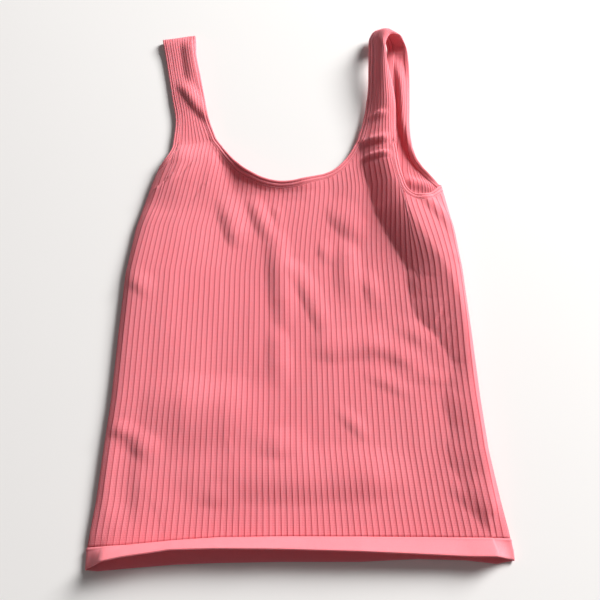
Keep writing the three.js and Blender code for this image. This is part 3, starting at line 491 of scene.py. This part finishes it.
def upper_rim(layer, per_rib):
    """The rim of a panel from the left underarm to the right one, per_rib places for each rib."""
    feet = []
    for strap, key in ((left_strap, "left strap"), (right_strap, "right strap")):
        row = 0.0 if layer < 0 else float(strap.last)
        margin = strap.inset(PANEL_INSET, row)[0]
        w = np.linspace(margin, 1 - margin, RIBS[key] * per_rib + 1)
        feet.append(strap.place(w, row)[:, :2])
    left, right = feet
    line, inward = plan_curve(NECK if layer < 0 else NECK_BACK)
    neck = (line + inward * PANEL_INSET)[NECK_ENDS:-NECK_ENDS]
    left_arm, right_arm = arm_rim(-1, layer), arm_rim(1, layer)
    left_arm = np.r_[left[:1], left_arm[left_arm[:, 1] < left[0, 1] - CORNER_GAP]][::-1]
    right_arm = np.r_[right[-1:], right_arm[right_arm[:, 1] < right[-1, 1] - CORNER_GAP]]
    return np.concatenate([
        spaced(left_arm, RIBS["left arm"] * per_rib, 1)[:-1],
        left[:-1],
        spaced(np.r_[left[-1:], neck, right[:1]], RIBS["neck"] * per_rib, 0.3)[:-1],
        right[:-1],
        spaced(right_arm, RIBS["right arm"] * per_rib, 0.12),
    ])


# %% [markdown]
# A knitted rib is a raised column of stitches. From a step away it reads as a narrow ridge with flat
# cloth between, so each rib gets four columns of mesh: two on the flat and two on the ridge. The ridges
# are really there and not only in the shading, because they break the outline at the folds.

# %% Ribs
RIB_PHASES = np.array([0.0, 0.14, 0.3, 0.85])  # places of the mesh columns within a rib
RIB_HEIGHTS = np.array([0.0, 0.36, 0.05, 0.0]) * MM
PER_RIB = len(RIB_PHASES)
BODY_ROWS = 156
STRAIGHT_TO = 250 * MM  # above this height the ribs bend towards the edge that cuts them


def rib_columns(count):
    """Rib numbers of the mesh columns over count ribs, with the last rib's right border."""
    return np.r_[(np.arange(count)[:, None] + RIB_PHASES).ravel(), count]


def rib_height(number):
    """Height of the ridge at a rib number, straight between the four columns."""
    return np.interp(number % 1, np.r_[RIB_PHASES, 1], np.r_[RIB_HEIGHTS, 0])


def body_plan(layer):
    """Plan places of a panel's body on a grid, column by column, from the hem seam to the rim."""
    rim = upper_rim(layer, 1)
    number = rib_columns(RIB_COUNT)
    top = np.stack([np.interp(number, np.arange(RIB_COUNT + 1), rim[:, k]) for k in range(2)], 1)
    share = number / RIB_COUNT

    def straight(y):
        left, right = side_x(y, -1) + FOLD_R, side_x(y, 1) - FOLD_R
        return left + (right - left) * share[:, None]

    bottom = np.interp(straight(HEM_BAND)[:, 0], HEM[:, 0], HEM[:, 1]) - 0.2 * MM
    t = np.linspace(0, 1, BODY_ROWS + 1)
    y = bottom[:, None] + (top[:, 1] - bottom)[:, None] * t
    bend = smooth((y - STRAIGHT_TO) / (top[:, 1:] - STRAIGHT_TO))
    return straight(y) + (top[:, :1] - straight(top[:, 1:])) * bend, y, number


# %% [markdown]
# Every cloth piece below is one closed shell. Its middle surface is an indexed grid of points; the
# outer and inner faces are moved out along the averaged normals, and a strip closes each open edge.
# Solidify does much the same, but here the outer face must also carry the ribs.

# %% Closed walls
def mesh_normals(points, quads):
    """The sum of the face normals round each point, made a unit vector."""
    a, b, c, d = (points[quads[:, k]] for k in range(4))
    face = np.cross(c - a, d - b)
    total = np.zeros_like(points)
    for k in range(4):
        np.add.at(total, quads[:, k], face)
    return unit(total)


def grid_index(grid, start=0):
    """Numbers of a grid's points, counted up from start."""
    return np.arange(grid.shape[0] * grid.shape[1]).reshape(grid.shape[:2]) + start


def grid_quads(index):
    """Quads of a grid of point numbers."""
    return np.stack([index[:-1, :-1], index[1:, :-1], index[1:, 1:], index[:-1, 1:]], -1).reshape(-1, 4)


def rim_edges(quads):
    """The directed edges that no other quad runs the other way."""
    edges = np.concatenate([quads[:, [k, (k + 1) % 4]] for k in range(4)])
    key = edges[:, 0].astype(np.int64) * (quads.max() + 1) + edges[:, 1]
    back = edges[:, 1].astype(np.int64) * (quads.max() + 1) + edges[:, 0]
    return edges[~np.isin(key, back)]


def make_piece(name, points, faces, uv=None, flat=0):
    """A smooth-shaded mesh object in the row frame, with an optional UV pair for each point. The last
    flat faces are shaded flat."""
    mesh = bpy.data.meshes.new(name)
    mesh.from_pydata((points - MIDDLE).tolist(), [], faces.tolist())
    mesh.polygons.foreach_set("use_smooth", np.arange(len(faces)) < len(faces) - flat)
    if uv is not None:
        corner = np.empty(len(mesh.loops), np.int32)
        mesh.loops.foreach_get("vertex_index", corner)
        layer = mesh.uv_layers.new(name="Knit")
        layer.data.foreach_set("uv", uv[corner].astype(np.float32).ravel())
    mesh.update()
    piece = bpy.data.objects.new(name, mesh)
    bpy.context.scene.collection.objects.link(piece)
    return piece


def wall_piece(name, points, quads, normals, outer, inner, uv):
    """A closed wall from a middle surface, and the distances of its outer and inner faces from it."""
    out = points + normals * outer[:, None]
    into = points - normals * inner[:, None]
    shell = np.concatenate([out, into])
    shell[:, 2] = np.maximum(shell[:, 2], 0.0)
    rim = rim_edges(quads)
    n = len(points)
    faces = np.concatenate([
        quads,
        quads[:, ::-1] + n,
        np.stack([rim[:, 1], rim[:, 0], rim[:, 0] + n, rim[:, 1] + n], axis=1),
    ])
    return make_piece(name, shell, faces, np.concatenate([uv, uv]), len(rim))


def flat_area(points, quads):
    """The middle surface's area in square metres."""
    a, b, c, d = (points[quads[:, k]] for k in range(4))
    return float(np.linalg.norm(np.cross(c - a, d - b), axis=1).sum() / 2)


# %% [markdown]
# The front panel is a grid of rib columns from the hem seam to the rim, and two strap grids that grow
# out of it, sharing its last row of points so that no seam shows at the strap's foot. The front's strap
# pieces pass over the shoulder, and the seam to the back lies a finger's width down behind.

# %% Front and back panels
STRAP_STEP = 0.16  # rows of the strap table between two rows of mesh
SEAM_STEP = 0.04  # the last step, short so that the shading runs on over the seam
RIM_FADE = 3 * MM  # the binding's stitches press the ribs flat over this width
STRAP_RIB = 4.2 * MM  # width of a rib on a strap
SIDE_STEP = 0.15 * MM  # how far round the side fold from its middle a panel's side column lies
RIBS_FROM = 16 * MM  # the ribs rise out of the hem seam from here
RIBS_RISE = 2 * MM


def strap_grid(strap, layer, count):
    """Places on a strap over count ribs, from next to the panel's rim to the shoulder seam."""
    start, end = (0.0, strap.seam) if layer < 0 else (float(strap.last), strap.seam)
    rows = np.linspace(start, end, round(abs(end - start) / STRAP_STEP) + 1)[1:]
    rows = np.insert(rows, -1, end + math.copysign(SEAM_STEP, start - end))
    margin = strap.inset(PANEL_INSET, rows)
    number = rib_columns(count)
    w = margin[None] + (1 - 2 * margin)[None] * (number / count)[:, None]
    return strap.place(w, np.broadcast_to(rows, w.shape))


def panel(name, layer):
    """One panel with its straps. Returns the finished piece and its flat area."""
    x, y, number = body_plan(layer)
    body, _ = front_surface(x, y) if layer < 0 else back_surface(x, y)
    for column, side in ((0, -1), (-1, 1)):
        body[column], _ = tube_surface(side, np.full(len(y[column]), layer * SIDE_STEP), y[column])
    index = grid_index(body)
    points, quads = [body.reshape(-1, 3)], [grid_quads(index)]
    numbers = [np.repeat(number, body.shape[1])]
    alongs = [y.ravel()]
    rims = [((y[:, -1:] - y) / RIM_FADE).ravel()]
    start = 0
    for zone, count in RIBS.items():
        if zone.endswith("strap"):
            strap = left_strap if zone.startswith("left") else right_strap
            grid = strap_grid(strap, layer, count)
            new = grid_index(grid, sum(map(len, points)))
            first = start * PER_RIB
            columns = slice(first, first + count * PER_RIB + 1)
            quads.append(grid_quads(np.concatenate([index[columns, -1:], new], axis=1)))
            points.append(grid.reshape(-1, 3))
            own = rib_columns(count)
            numbers.append(np.repeat(own + start, grid.shape[1]))
            step = np.linalg.norm(np.diff(np.concatenate([body[columns, -1:], grid], 1), axis=1), axis=2)
            alongs.append((y[columns, -1:] + np.cumsum(step, axis=1)).ravel())
            edge = np.minimum(own, count - own)[:, None] * STRAP_RIB / RIM_FADE + 0.25
            rims.append(np.broadcast_to(edge, grid.shape[:2]).ravel())
            strap_columns = rims[0].reshape(body.shape[:2])
            strap_columns[columns] = np.maximum(strap_columns[columns], edge)
        start += count
    points, quads = np.concatenate(points), np.concatenate(quads)
    number, along, rim = (np.concatenate(v) for v in (numbers, alongs, rims))
    if layer > 0:
        quads = quads[:, ::-1]
    rib = rib_height(number) * smooth(rim) * smooth((along - RIBS_FROM) / RIBS_RISE)
    normals = mesh_normals(points, quads)
    if layer < 0:
        outer, inner = WALL / 2 + rib, WALL / 2 + 0.6 * rib
    else:
        outer, inner = 0.5 * MM + 0.5 * rib, 0.45 * MM + 0.7 * rib
    uv = np.stack([number, along], axis=1)
    piece = wall_piece(name, points, quads, normals, outer, inner, uv)
    return piece, flat_area(points, quads)


front, front_area = panel("front_cloth", -1)
back, back_area = panel("back_cloth", 1)
print(f"front {front_area:.4f} and back {back_area:.4f} square metres,",
      f"{sum(len(p.data.polygons) * 2 for p in (front, back))} triangles")

# %% [markdown]
# The hem is a plain, smooth band, knitted double, that the ribs run into. Its front has been lifted
# and stands open, so the camera sees the shadow under it and the inside of the back layer. It is one
# ring: across the front, round the right fold, back across the underside and round the left fold.

# %% Hem band
HEM_COLUMNS = 330
HEM_DEPTHS = np.linspace(0, 1, 25)
HEM_WALL = 0.8 * MM  # half of the double cloth's thickness
CORNER_CLOSE = 16 * MM  # the lifted front comes down to the back over this length at each end
HEM_ROUND = 1.2 * MM  # the band's edges are rounded over this width
HEM_LIP = 0.35 * MM


def hem_surface():
    """Places and normals of the band's middle surface: a column for each station round the ring."""
    left, right = side_x(8 * MM, -1) + FOLD_R, side_x(8 * MM, 1) - FOLD_R
    x = np.linspace(left, right, HEM_COLUMNS)[:, None]
    share = (x - left) / (right - left)
    seam, front_y, back_y = (np.interp(x, HEM[:, 0], HEM[:, k]) for k in (1, 2, 3))
    depth = HEM_DEPTHS[None]
    run = seam - front_y
    corner = smooth(np.minimum(x - left, right - x) / CORNER_CLOSE)
    lift = np.sqrt(np.maximum(HEM_BAND**2 - run**2, 0)) * corner

    def strip(y, z):
        side = (1 - share) * (side_x(y, -1) + FOLD_R) + share * (side_x(y, 1) - FOLD_R)
        return stack(side, y, z)

    top = strip(seam - run * depth, resting_height(x, seam) + lift * depth)
    bottom = strip(seam + (back_y - seam) * depth, BACK_Z)
    folds = []
    for side, column in ((1, -1), (-1, 0)):
        turn = np.linspace(math.pi / 2, -math.pi / 2, 7)[1:-1, None]
        y = seam[column] + (back_y[column] - seam[column]) * depth
        edge = side_x(y, side) - side * FOLD_R
        folds.append(stack(edge + side * FOLD_R * np.cos(turn), y, FOLD_Z + FOLD_R * np.sin(turn)))
    return np.concatenate([top, folds[0], bottom[::-1], folds[1][::-1]])


def hem_piece():
    grid = hem_surface()
    index = grid_index(grid)
    quads = grid_quads(np.concatenate([index, index[:1]]))[:, ::-1]
    points = grid.reshape(-1, 3)
    depth = np.tile(HEM_DEPTHS, len(grid))
    normals = mesh_normals(points, quads)
    near_edge = np.minimum(depth, 1 - depth) * HEM_BAND
    roll = 1 - 0.45 * (1 - smooth(near_edge / HEM_ROUND))
    lip = HEM_LIP * np.exp(-((depth * HEM_BAND / MM - 1.6) / 0.9) ** 2)
    round_ring = np.repeat(np.arange(len(grid)), len(HEM_DEPTHS)) * MM
    uv = np.stack([round_ring, depth * HEM_BAND], axis=1)
    return wall_piece("hem_band_cloth", points, quads, normals, HEM_WALL * roll + lip,
                      HEM_WALL * roll, uv), flat_area(points, quads)


hem, hem_area = hem_piece()
print(f"hem band {hem_area:.4f} square metres")

# %% [markdown]
# The neck and armholes are turned in and stitched down by a twin needle, which leaves two fine grooves
# along each edge. A binding is a closed section carried round the whole opening: at each station it is
# set on the cloth's surface, so it turns over the shoulders with the strap and never twists by itself.

# %% Bindings
BINDING_SECTION = table(  # distance from the garment's edge, and height out of the middle surface
    (0, 0), (0.1, 0.5), (0.5, 0.95), (1.2, 1.15), (1.8, 1.0), (2.3, 0.4), (2.8, 0.9), (3.7, 1.05),
    (4.7, 0.95), (5.2, 0.4), (5.7, 0.85), (6.2, 0.85), (6.4, 0.6), (6.3, -0.72),
    (4.6, -0.85), (2.4, -0.85), (0.6, -0.8), (0.1, -0.45),
)
STITCH_LINES = (2.3 * MM, 5.2 * MM)
NECK_STEP = 2.2 * MM


def even_rows(strap, edge, start, end):
    """Rows of a strap's table that are evenly spaced along one of its edges."""
    rows = np.linspace(start, end, 600)
    line = strap.place(float(edge), rows)
    length = run_along(line)
    count = round(length[-1] / NECK_STEP)
    return np.interp(np.linspace(0, length[-1], count + 1), length, rows)


def strap_strip(strap, edge, start, end, across):
    """Surface points along a strap's left (0) or right (1) edge, at distances from it."""
    rows = even_rows(strap, edge, start, end)
    share = strap.inset(1.0, rows)[:, None] * across[None]
    w = 1 - share if edge else share
    return strap.surface(w, np.broadcast_to(rows[:, None], w.shape))


def plan_strip(knots, to_surface, across, close_at_fold=False):
    """Surface points along a plan curve, at distances square to it."""
    line, inward = plan_curve(knots, 1600)
    length = np.linalg.norm(np.diff(line, axis=0), axis=1).sum()
    at = np.arange(1, round(length / NECK_STEP)) * NECK_STEP
    if close_at_fold:
        fold = np.interp(0, line[:, 0], np.linspace(0, length, len(line)))
        at = np.union1d(at, fold + np.linspace(-3, 3, 25) * FOLD_R)
    pick = np.interp(at, np.linspace(0, length, len(line)), np.arange(len(line))).round().astype(int)
    x = line[pick, 0][:, None] + inward[pick, 0][:, None] * across
    y = line[pick, 1][:, None] + inward[pick, 1][:, None] * across
    return to_surface(x, y)


def neck_strip(across):
    """The whole neck edge: front, right strap, back, left strap."""
    parts = [
        plan_strip(NECK, front_surface, across),
        strap_strip(right_strap, 0, 0, right_strap.last, across),
        tuple(v[::-1] for v in plan_strip(NECK_BACK, back_surface, across)),
        strap_strip(left_strap, 1, left_strap.last, 0, across),
    ]
    return (np.concatenate(v) for v in zip(*parts))


def armhole_strip(side, across):
    """A whole armhole edge: under the arm from front to back, then over the strap to the front."""
    strap = left_strap if side < 0 else right_strap
    under = plan_strip(ARMHOLES[side], lambda u, y: tube_surface(side, u, y), across, True)
    over = strap_strip(strap, 0 if side < 0 else 1, strap.last, 0, across)
    return (np.concatenate(v) for v in zip(under, over))


def binding(name, strip, turned):
    """The closed section carried round a strip. turned swaps the faces of a ring that runs backwards."""
    across, out = BINDING_SECTION.T
    places, normals = strip(across)
    grid = places + normals * out[None, :, None]
    grid[..., 2] = np.maximum(grid[..., 2], 0.0)
    index = grid_index(grid)
    index = np.concatenate([index, index[:1]])
    index = np.concatenate([index, index[:, :1]], axis=1)
    quads = grid_quads(index)
    along = run_along(places[:, 0])
    uv = np.stack([np.repeat(along, len(across)), np.tile(across, len(grid))], axis=1)
    return make_piece(name, grid.reshape(-1, 3), quads if turned else quads[:, ::-1], uv), along[-1]


neck, neck_length = binding("neck_binding_cloth", neck_strip, False)
arm_left, left_length = binding(
    "armhole_binding_left_cloth", lambda across: armhole_strip(-1, across), True)
arm_right, right_length = binding(
    "armhole_binding_right_cloth", lambda across: armhole_strip(1, across), False)
print(f"neck {neck_length:.3f} m round, armholes {left_length:.3f} and {right_length:.3f} m")

# %% [markdown]
# A twin needle makes two rows of stitches about 3 mm long that sink a little into the cloth. Hundreds
# of them show, so each is a small closed spindle with few faces, set in the groove of the binding and
# pointed along it. All the stitches of one edge are one mesh.

# %% Stitches
STITCH_PITCH = 3.2 * MM
STITCH_LENGTH = 2.5 * MM
STITCH_WIDTH = 0.55 * MM
STITCH_SINK = 0.6 * MM  # height of the thread's middle over the middle surface


def spindle():
    """A thread's shape along x: six-sided rings that narrow to both ends, and their faces."""
    t = np.linspace(-1, 1, 5)
    radius = np.sqrt(np.maximum(1 - t**2, 0.06))
    angle = np.arange(6) * math.pi / 3
    rings = stack(t[:, None] * STITCH_LENGTH / 2, radius[:, None] * np.cos(angle) * STITCH_WIDTH / 2,
                  radius[:, None] * np.sin(angle) * STITCH_WIDTH / 2)
    index = np.arange(30).reshape(5, 6)
    quads = grid_quads(np.concatenate([index, index[:, :1]], axis=1))
    caps = np.array([[0, 1, 2, 3], [0, 3, 4, 5], [27, 26, 25, 24], [29, 28, 27, 24]])
    return rings.reshape(-1, 3), np.concatenate([quads[:, ::-1], caps[:, ::-1]])


def stitch_piece(name, strip):
    """One spindle for each stitch, turned into the strip's frame at its place."""
    shape, faces = spindle()
    points, quads, count = [], [], 0
    for line in STITCH_LINES:
        places, normals = strip(np.array([line]))
        places, normals = places[:, 0], normals[:, 0]
        run = run_along(places)
        at = np.arange(STITCH_PITCH, run[-1], STITCH_PITCH)
        middle, out = (np.stack([np.interp(at, run, v[:, k]) for k in range(3)], 1)
                       for v in (places, normals))
        ahead = np.stack([np.interp(at + 0.4 * MM, run, places[:, k]) for k in range(3)], 1)
        along = unit(ahead - middle + 1e-9)
        across = unit(np.cross(out, along))
        out = np.cross(along, across)
        middle = middle + out * STITCH_SINK
        made = (middle[:, None] + shape[None, :, :1] * along[:, None]
                + shape[None, :, 1:2] * across[:, None] + shape[None, :, 2:] * out[:, None])
        made[..., 2] = np.maximum(made[..., 2], 0.0)
        first = (np.arange(len(at)) + count)[:, None, None] * len(shape)
        quads.append((faces[None] + first).reshape(-1, 4))
        points.append(made.reshape(-1, 3))
        count += len(at)
    piece = make_piece(name, np.concatenate(points), np.concatenate(quads))
    print(f"{name}: {count} stitches")
    return piece


neck_stitches = stitch_piece("neck_stitches", neck_strip)
left_stitches = stitch_piece("armhole_left_stitches", lambda across: armhole_strip(-1, across))
right_stitches = stitch_piece("armhole_right_stitches", lambda across: armhole_strip(1, across))

# %% [markdown]
# Shader maths reads best as plain expressions. The small class below wraps a socket, so that
# 1 - mask or wave * 0.5 adds the Math nodes by itself, and any other node comes from one method.

# %% Shader helper
class Value:
    """A number that varies over the surface, kept as a socket of a node tree."""

    def __init__(self, tree, socket):
        self.tree, self.socket = tree, socket

    def math(self, operation, other=None):
        node = self.tree.nodes.new("ShaderNodeMath")
        node.operation = operation
        for socket, value in zip(node.inputs, (self, other)):
            if isinstance(value, Value):
                self.tree.links.new(value.socket, socket)
            elif value is not None:
                socket.default_value = value
        return Value(self.tree, node.outputs[0])

    def __add__(self, other):
        return self.math("ADD", other)

    def __mul__(self, other):
        return self.math("MULTIPLY", other)

    def __sub__(self, other):
        return self.math("SUBTRACT", other)

    def __rsub__(self, other):
        return (self * -1) + other

    def __mod__(self, other):
        return self.math("FLOORED_MODULO", other)

    __radd__ = __add__
    __rmul__ = __mul__


class Look:
    """A material with one Principled shader, and a way to add any node to it."""

    def __init__(self, name, constants):
        self.material = bpy.data.materials.new(name)
        self.material.use_nodes = True
        self.tree = self.material.node_tree
        self.shader = self.tree.nodes["Principled BSDF"]
        for socket, value in constants.items():
            self.shader.inputs[socket].default_value = value

    def node(self, kind, output=0, settings=None, **sockets):
        """Adds a node: its settings first, then its sockets' values or links."""
        node = self.tree.nodes.new("ShaderNode" + kind)
        for key, value in (settings or {}).items():
            setattr(node, key, value)
        for key, value in sockets.items():
            socket = node.inputs[int(key[1:]) if key[1:].isdigit() else key.replace("_", " ")]
            if isinstance(value, Value):
                self.tree.links.new(value.socket, socket)
            else:
                socket.default_value = value
        return Value(self.tree, node.outputs[output])

    def line(self, distance, inner, outer):
        """1 within the inner distance of a line, falling smoothly to 0 at the outer distance."""
        return self.node("MapRange", 0, {"interpolation_type": "SMOOTHSTEP"},
                         _0=distance.math("ABSOLUTE"), _1=inner, _2=outer, _3=1.0, _4=0.0)

    def mix(self, mask, a, b):
        """Colour a where mask is 0, b where it is 1."""
        return self.node("Mix", 2, {"data_type": "RGBA"}, _0=mask, _6=a, _7=b)

    def feed(self, socket, value):
        self.tree.links.new(value.socket, self.shader.inputs[socket])


# %% [markdown]
# The knit is a matt, slightly hairy pink. What shows from a step away is the grain of its stitches
# and a faint unevenness of the dye. Painted light is added to these: a painted shade along the side of
# each ribbed ridge that faces away from the lamp, where it meets the flat, and a painted highlight on
# the side that faces the lamp. The pattern reads the Knit UV map, whose first number counts ribs and
# whose second is the distance along them, so that it follows the cloth over every fold.

# %% Ribbed knit
PINK = (0.83, 0.215, 0.26, 1)
DEEP_PINK = (0.62, 0.095, 0.12, 1)
PALE_PINK = (0.93, 0.32, 0.365, 1)
KNIT = {
    "Sheen Weight": 0.12, "Sheen Roughness": 0.5, "Sheen Tint": (1, 0.6, 0.6, 1),
    "Specular IOR Level": 0.12,
    "Subsurface Weight": 0.3, "Subsurface Radius": (1, 0.25, 0.2), "Subsurface Scale": 2 * MM,
}
WALES = 4  # columns of stitches in a rib
COURSE = 1.25 * MM  # height of a row of stitches


def stitch_grain(look, column, along, course):
    """Chevrons: each column of stitches is a wave whose two halves lean opposite ways."""
    in_column = (column % 1.0) - 0.5
    lean = in_column.math("ABSOLUTE")
    wave = ((along * (1 / course) + lean) * (2 * math.pi)).math("SINE")
    ridge = (in_column * (2 * math.pi)).math("COSINE")
    return wave * 0.5 + ridge * 0.5


def uneven(look, scale, detail=3.0):
    """Soft noise from 0 to 1 over the object."""
    place = look.node("TexCoord", 3)
    return look.node("TexNoise", 0, None, Vector=place, Scale=scale, Detail=detail)


def ribbed_knit():
    look = Look("Ribbed knit", KNIT)
    uv = look.node("UVMap", 0, {"uv_map": "Knit"})
    number = look.node("SeparateXYZ", 0, None, Vector=uv)
    along = look.node("SeparateXYZ", 1, None, Vector=uv)
    phase = number % 1.0
    # painted shade: the side of each ridge that faces away from the lamp, and the flat at its foot,
    # darkened
    painted_ridge_shade = look.line(((number + 0.5) % 1.0) - 0.52, 0.04, 0.13)
    # painted highlight: the side of each ridge that faces the lamp is made paler
    crest = look.line(phase - 0.2, 0.04, 0.12)
    grain = stitch_grain(look, number * WALES, along, COURSE)
    cloud = uneven(look, 14.0)
    fuzz = uneven(look, 900.0, 2.0)
    tone = look.mix(cloud * 0.5, PINK, PALE_PINK)
    # mixes in the painted highlight, then the painted shade, of the ridges
    tone = look.mix(crest * 0.5, tone, PALE_PINK)
    tone = look.mix(painted_ridge_shade * 0.75, tone, DEEP_PINK)
    tone = look.mix((1 - (grain * 0.5 + 0.5)) * 0.2 + fuzz * 0.12, tone, DEEP_PINK)
    look.feed("Base Color", tone)
    look.feed("Roughness", fuzz * 0.12 + 0.78)
    bump = look.node("Bump", 0, None, Strength=0.35, Distance=0.0004, Height=grain * 0.6 + fuzz * 0.8)
    look.feed("Normal", bump)
    return look.material


ribbed = ribbed_knit()

# %% [markdown]
# The hem band and the bindings are plain knit, finer and smoother than the ribs, so they catch the
# light more evenly. The thread is the same pink with a slight shine.

# %% Plain knit and thread
def plain_knit(name, wale, course, light, lines=()):
    """Plain knit, with painted shade along the grooves of the sewn lines, which are distances in the
    second UV number.
    """
    look = Look(name, KNIT)
    uv = look.node("UVMap", 0, {"uv_map": "Knit"})
    first = look.node("SeparateXYZ", 0, None, Vector=uv)
    second = look.node("SeparateXYZ", 1, None, Vector=uv)
    grain = stitch_grain(look, first * (1 / wale), second, course)
    cloud = uneven(look, 18.0)
    fuzz = uneven(look, 800.0, 2.0)
    tone = look.mix(cloud * 0.4 + light, PINK, PALE_PINK)
    tone = look.mix((1 - (grain * 0.5 + 0.5)) * 0.14 + fuzz * 0.12, tone, DEEP_PINK)
    # painted shade: the grooves of the stitch lines are darkened as if shade lay in them
    for place in lines:
        tone = look.mix(look.line(second - place, 0.15 * MM, 0.45 * MM) * 0.8, tone, DEEP_PINK)
    look.feed("Base Color", tone)
    look.feed("Roughness", fuzz * 0.1 + 0.76)
    bump = look.node("Bump", 0, None, Strength=0.25, Distance=0.0003, Height=grain * 0.6 + fuzz * 0.6)
    look.feed("Normal", bump)
    return look.material


def thread():
    look = Look("Thread", {"Roughness": 0.55, "Specular IOR Level": 0.35, "Sheen Weight": 0.2})
    look.feed("Base Color", look.mix(uneven(look, 700.0, 1.0), PINK, DEEP_PINK))
    return look.material


plain = plain_knit("Plain knit", 0.9 * MM, 0.8 * MM, 0.35)
bound = plain_knit("Binding knit", 0.9 * MM, 0.8 * MM, 0.2, STITCH_LINES)
stitching = thread()

# %% [markdown]
# Each piece now gets its material, the body that it rides on and the solid that it takes the
# place of. The stitches have no solid, because they are only looks.

# %% Dress the frame
PIECES = [
    (front, ribbed, "rib_knit", "front"),
    (back, ribbed, "rib_knit", "back"),
    (hem, plain, "plain_knit", "hem_band"),
    (neck, bound, "binding", "neck_binding"),
    (arm_left, bound, "binding", "armhole_binding_left"),
    (arm_right, bound, "binding", "armhole_binding_right"),
    (neck_stitches, stitching, "binding", None),
    (left_stitches, stitching, "binding", None),
    (right_stitches, stitching, "binding", None),
]
for piece, material, slot, node in PIECES:
    piece.data.materials.append(material)
    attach(piece, "root")
    if node:
        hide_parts(node)
print(f"{sum(len(p[0].data.polygons) for p in PIECES)} faces in {len(PIECES)} pieces")

# %% [markdown]
# Cloth that is laid out neither stretches nor shrinks.

# %% [markdown]
# The garment lies on a pale floor. The photo's light is soft and comes from the upper right, low
# enough that slopes facing left and the hem's underside go dark. A broad lamp there, a weak fill and a
# pale sky give the same.

# %% Floor, light and camera
FLOOR = 3.0


def floor():
    mesh = bpy.data.meshes.new("floor")
    half = FLOOR / 2
    mesh.from_pydata([(-half, -half, 0), (half, -half, 0), (half, half, 0), (-half, half, 0)], [],
                     [(0, 1, 2, 3)])
    piece = bpy.data.objects.new("floor", mesh)
    bpy.context.scene.collection.objects.link(piece)
    look = Look("Pale floor", {"Roughness": 0.9, "Specular IOR Level": 0.1})
    pale, grey = (0.86, 0.86, 0.86, 1), (0.82, 0.82, 0.82, 1)
    look.feed("Base Color", look.mix(uneven(look, 6.0) * 0.3, pale, grey))
    mesh.materials.append(look.material)


def lamp(name, place, aim, size, power, colour):
    data = bpy.data.lights.new(name, "AREA")
    data.size, data.energy, data.color = size, power, colour
    piece = bpy.data.objects.new(name, data)
    piece.location = place
    piece.rotation_euler = (Vector(aim) - Vector(place)).to_track_quat("-Z", "Y").to_euler()
    bpy.context.scene.collection.objects.link(piece)


floor()
lamp("key", (2.8, 2.1, 1.95), (0, 0, 0), 1.7, 330, (1.0, 0.98, 0.96))
lamp("fill", (-0.8, -0.9, 1.4), (0, 0, 0), 1.4, 1.2, (1.0, 0.95, 0.93))
world = bpy.data.worlds.new("Studio")
world.use_nodes = True
world.node_tree.nodes["Background"].inputs["Color"].default_value = (1, 0.93, 0.91, 1)
world.node_tree.nodes["Background"].inputs["Strength"].default_value = 0.12
bpy.context.scene.world = world
bpy.context.scene.view_settings.view_transform = "Standard"

CAMERA_PLACE = np.array([0.0, -21.05, 500.0]) * MM - MIDDLE
CAMERA_ELEVATION = 64  # degrees above the floor
camera_data = bpy.data.cameras.new("camera")
camera_data.lens, camera_data.sensor_width = 36, 36
camera_data.clip_start, camera_data.clip_end = 0.01, 10
camera = bpy.data.objects.new("camera", camera_data)
camera.location = CAMERA_PLACE
camera.rotation_euler = (math.radians(90 - CAMERA_ELEVATION), 0, 0)
bpy.context.scene.collection.objects.link(camera)
bpy.context.scene.camera = camera
